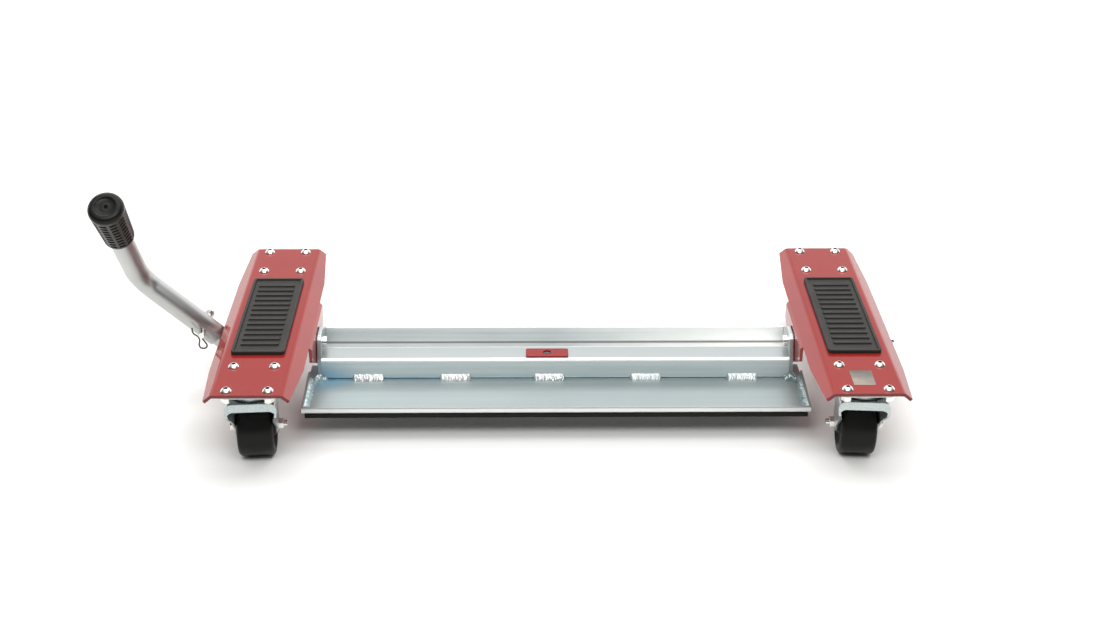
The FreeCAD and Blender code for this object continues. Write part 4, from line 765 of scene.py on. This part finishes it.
grip_rubber = rubber(
    "grip_rubber", (0.007, 0.0064, 0.0060), (0.012, 0.011, 0.010), patch=0.4, gloss=0.24, dull=0.36,
    bump=0.2, gleam=0.2, mark=paler_ridges)
wheel_black = rubber(
    "wheel_black", (0.004, 0.0038, 0.0036), (0.008, 0.0075, 0.007), patch=0.5, gloss=0.34, dull=0.5,
    bump=0.12, gleam=0.2, round_edge=0.0006)

# CAD nodes that stay, by finish
worn = {
    red_paint: [f"{side}_{kind}" for side in SIDES for kind in ("deck", "outer_bracket")] + ["anchor_tab"],
    bush_bronze: [f"{side}_bushes" for side in SIDES],
    socket_steel: [f"{side}_deck_screws" for side in SIDES],
    screw_steel: [f"{side}_{kind}" for side in SIDES for kind in ("deck_nuts", "shaft")]
    + [f"{caster}_{kind}" for caster in CASTERS for kind in ("balls", "axle", "wheel_bush")]
    + ["pivot_screws", "lock_pin"],
    caster_zinc: [f"{caster}_{kind}" for caster in CASTERS for kind in ("caster_plate", "kingpin", "fork")],
    wheel_black: [f"{caster}_wheel" for caster in CASTERS],
    tray_zinc: ["tray"],
    tube_zinc: ["cross_tube"],
    arm_zinc: ["tray_end_plates", "left_arm", "right_arm"],
    back_zinc: ["back_angle"],
    lever_zinc: ["lever_stub"],
    mat_rubber: ["ground_mat"],
}
for material, names in worn.items():
    for name in names:
        mesh = nodes[name].data
        mesh.materials.clear()
        mesh.materials.append(material)

# Step pads, hand grip and lever
for side in SIDES:
    node = f"{side}_step_pad"
    piece(pad_mesh(f"{side}_ribbed_pad", node), pad_rubber, "rubber", f"{side}_carriage", node)

piece(grip_mesh("pitted_grip", grip_seat, grip_up), grip_rubber, "rubber", "cradle", "lever_grip")
piece(lever_mesh("smooth_lever", grip_seat, grip_up), lever_zinc, "zinc", "cradle", "lever_tube")

# Stitch beads in front of the tube, then the smeared fillets inside the tray ends with a drop at the tube
FORWARD, UPWARD = (0, -1, 0), (0, 0, 1)
WELD_MIDDLES = (-0.252, -0.135, -0.009, 0.121, 0.252)
WELD_LENGTH, WELD_LEG = 0.043, 0.0084
STITCH_SEED, SMEAR_SEED, DROP_SEED = 3, 21, 41
stitches = []
for number, middle in enumerate(WELD_MIDDLES):
    start = (MID_X + middle - WELD_LENGTH / 2, tube_low.y, FLOOR_Z)
    end = (MID_X + middle + WELD_LENGTH / 2, tube_low.y, FLOOR_Z)
    stitches.append(bead_rings(
        start, end, FORWARD, UPWARD, WELD_LEG, number + STITCH_SEED, ragged=0.1, ripple=0.0032, swell=0.05))
piece(skin("stitch_beads", *stitches), weld_metal, "weld", "cradle", "stitch_welds")

SMEAR_LEG, SMEAR_GAP = 0.0085, 0.001
# Legs in from the end plate, radii out from the tube, radius and height of each drop
DROPS = ((1.3, 0.4, 0.0060, 0.0080), (2.2, 0.7, 0.0042, 0.0048), (0.9, 1.9, 0.0044, 0.0058))
smears = []
for number, (edge, inward) in enumerate(((tray_low.x, 1), (tray_high.x, -1))):
    corner = edge + inward * TRAY_SHEET
    start = (corner, tube_low.y - SMEAR_GAP, FLOOR_Z)
    end = (corner, tray_low.y + TRAY_SHEET + SMEAR_GAP, FLOOR_Z)
    smears.append(bead_rings(
        start, end, (inward, 0, 0), UPWARD, SMEAR_LEG, number + SMEAR_SEED,
        ragged=0.26, ripple=0.0052, swell=0.05))
    for along, out, radius, height in DROPS:
        drop = (corner + inward * SMEAR_LEG * along, tube_low.y - radius * out, FLOOR_Z)
        smears.append(mound_rings(drop, radius, height, len(smears) + DROP_SEED))
piece(skin("end_smears", *smears), smear_metal, "weld", "cradle")

# Hairpin clip: down through the pin, round, and back up in a wave that flares outwards
CLIP_EDGE = 0.005
CLIP_WIRE = 0.0011
CLIP_STEPS, CLIP_AROUND = 130, 14
CLIP_LINE = (
    (0.0, 0.008), (0.0, -0.006), (0.0025, -0.011), (0.0050, -0.016), (0.0040, -0.020), (0.0, -0.0215),
    (-0.0040, -0.020), (-0.0052, -0.015), (-0.0040, -0.009), (-0.0060, -0.0035), (-0.0105, 0.0),
    (-0.0125, 0.004), (-0.0125, 0.009),
)
pin_x, pin_z = (pin_low.x + pin_high.x) / 2, (pin_low.z + pin_high.z) / 2
clip_line = smooth_line([(pin_x + x, pin_low.y + CLIP_EDGE, pin_z + z) for x, z in CLIP_LINE], CLIP_STEPS)
clip_mesh = skin("hairpin_wire", swept_wire(clip_line, CLIP_WIRE, CLIP_AROUND))
piece(clip_mesh, clip_wire, "dark_wire", "cradle", "hairpin_clip")

# Blank plate on the right deck
PLATE_HALF = (0.0138, 0.0183)
PLATE_THICK = 0.0003
PLATE_CORNER = 0.001
PLATE_AROUND = 48
PLATE_PLACE = (-0.002, -0.170)


def plate_mesh(name, middle):
    """A thin plate with round corners: its outline at three heights, drawn in a little at the top."""
    turn = np.linspace(0, 2 * np.pi, PLATE_AROUND, endpoint=False) + np.pi / PLATE_AROUND
    spoke = np.stack([np.cos(turn), np.sin(turn)], 1)
    outline = np.sign(spoke) * (np.array(PLATE_HALF) - PLATE_CORNER) + PLATE_CORNER * spoke
    inset = np.array([1.0, 1.0, 0.995])
    height = np.array([0.0, 0.7, 1.0]) * PLATE_THICK
    flat = np.array(middle)[:2] + inset[:, None, None] * outline
    level = np.broadcast_to(middle[2] + height[:, None, None], (*flat.shape[:2], 1))
    return skin(name, np.concatenate([flat, level], 2))


plate_middle = (DECK_X + PLATE_PLACE[0], SHAFT_Y + PLATE_PLACE[1], deck_high.z)
piece(plate_mesh("blank_plate", plate_middle), blank_foil, "bright_screw", "right_carriage")


# Floor, light and camera
FLOOR_REACH = 30.0
PAPER_WHITE = (0.9, 0.9, 0.88, 1)
WASH_Y, WASH_Z = 3.0, 3.2
# Strength of the backdrop and of the dark room, low down and high up
BACKDROP, DARK_ROOM = (1.85, 0.6), (0.05, 1.0)


def paper_floor(reach):
    """A wide sheet of matt white paper."""
    mesh = bpy.data.meshes.new("floor")
    corners = [(-reach, -reach, 0), (reach, -reach, 0), (reach, reach, 0), (-reach, reach, 0)]
    mesh.from_pydata(corners, [], [(0, 1, 2, 3)])
    paper = bpy.data.materials.new("floor_paper")
    paper.use_nodes = True
    shader = paper.node_tree.nodes["Principled BSDF"]
    shader.inputs["Base Color"].default_value = PAPER_WHITE
    shader.inputs["Roughness"].default_value = 0.8
    shader.inputs["Specular IOR Level"].default_value = 0.1
    mesh.materials.append(paper)
    floor = bpy.data.objects.new("floor", mesh)
    bpy.context.scene.collection.objects.link(floor)


def studio_world():
    """White to the camera; else a backdrop that is bright low down, and a dark room at front and sides."""
    world = bpy.data.worlds.new("studio")
    bpy.context.scene.world = world
    world.use_nodes = True
    tree = world.node_tree
    surround = tree.nodes["Background"]
    place = add_node(tree, "ShaderNodeTexCoord")
    axes = add_node(tree, "ShaderNodeSeparateXYZ")
    tree.links.new(place.outputs["Generated"], axes.inputs[0])
    backdrop = spread(tree, axes.outputs["Z"], 0.15, 0.55, *BACKDROP)
    dark_room = spread(tree, axes.outputs["Z"], 0.45, 0.85, *DARK_ROOM)
    behind = spread(tree, axes.outputs["Y"], 0.0, 0.5, 0, 1, "SMOOTHSTEP")
    tree.links.new(between(tree, dark_room, backdrop, behind), surround.inputs["Strength"])
    surround.inputs["Color"].default_value = (1, 1, 1, 1)
    white = add_node(tree, "ShaderNodeBackground", {"Color": (1, 1, 1, 1), "Strength": 1.0})
    path = add_node(tree, "ShaderNodeLightPath")
    either = add_node(tree, "ShaderNodeMixShader")
    tree.links.new(path.outputs["Is Camera Ray"], either.inputs[0])
    tree.links.new(surround.outputs[0], either.inputs[1])
    tree.links.new(white.outputs[0], either.inputs[2])
    tree.links.new(either.outputs[0], tree.nodes["World Output"].inputs["Surface"])


def soft_box(name, place, aim, width, height, power):
    """A rectangular studio light that faces a point."""
    light = bpy.data.lights.new(name, "AREA")
    light.shape = "RECTANGLE"
    light.size = width
    light.size_y = height
    light.energy = power
    lamp = bpy.data.objects.new(name, light)
    facing = (Vector(place) - Vector(aim)).to_track_quat("Z", "Y").to_matrix().to_4x4()
    lamp.matrix_world = Matrix.Translation(place) @ facing
    bpy.context.scene.collection.objects.link(lamp)


def photo_camera():
    """The photograph's camera: turned by yaw, pitch and roll at its eye point."""
    ahead = Vector((math.sin(YAW) * math.cos(PITCH), math.cos(YAW) * math.cos(PITCH), -math.sin(PITCH)))
    level = Vector((math.cos(YAW), -math.sin(YAW), 0))
    upward = level.cross(ahead)
    rightward = level * math.cos(ROLL) + upward * math.sin(ROLL)
    upright = upward * math.cos(ROLL) - level * math.sin(ROLL)
    lens = bpy.data.cameras.new("photo_camera")
    lens.sensor_fit = "HORIZONTAL"
    lens.sensor_width = SENSOR_MM
    lens.lens = LENS_MM
    camera = bpy.data.objects.new("photo_camera", lens)
    turned = Matrix((rightward, upright, -ahead)).transposed().to_4x4()
    camera.matrix_world = Matrix.Translation((MID_X + EYE[0], SHAFT_Y + EYE[1], EYE[2])) @ turned
    bpy.context.scene.collection.objects.link(camera)
    bpy.context.scene.camera = camera


paper_floor(FLOOR_REACH)
studio_world()
cradle_middle = (MID_X, SHAFT_Y, 0.05)
soft_box("overhead", (MID_X, 0.05, 2.3), cradle_middle, width=2.4, height=1.0, power=17)
soft_box("front_top", (MID_X, -1.5, 2.1), cradle_middle, width=2.2, height=0.8, power=27)
soft_box("floor_wash", (MID_X, WASH_Y, WASH_Z), (MID_X, WASH_Y, 0), width=6.0, height=2.5, power=130)
photo_camera()
bpy.context.scene.view_settings.view_transform = "Standard"
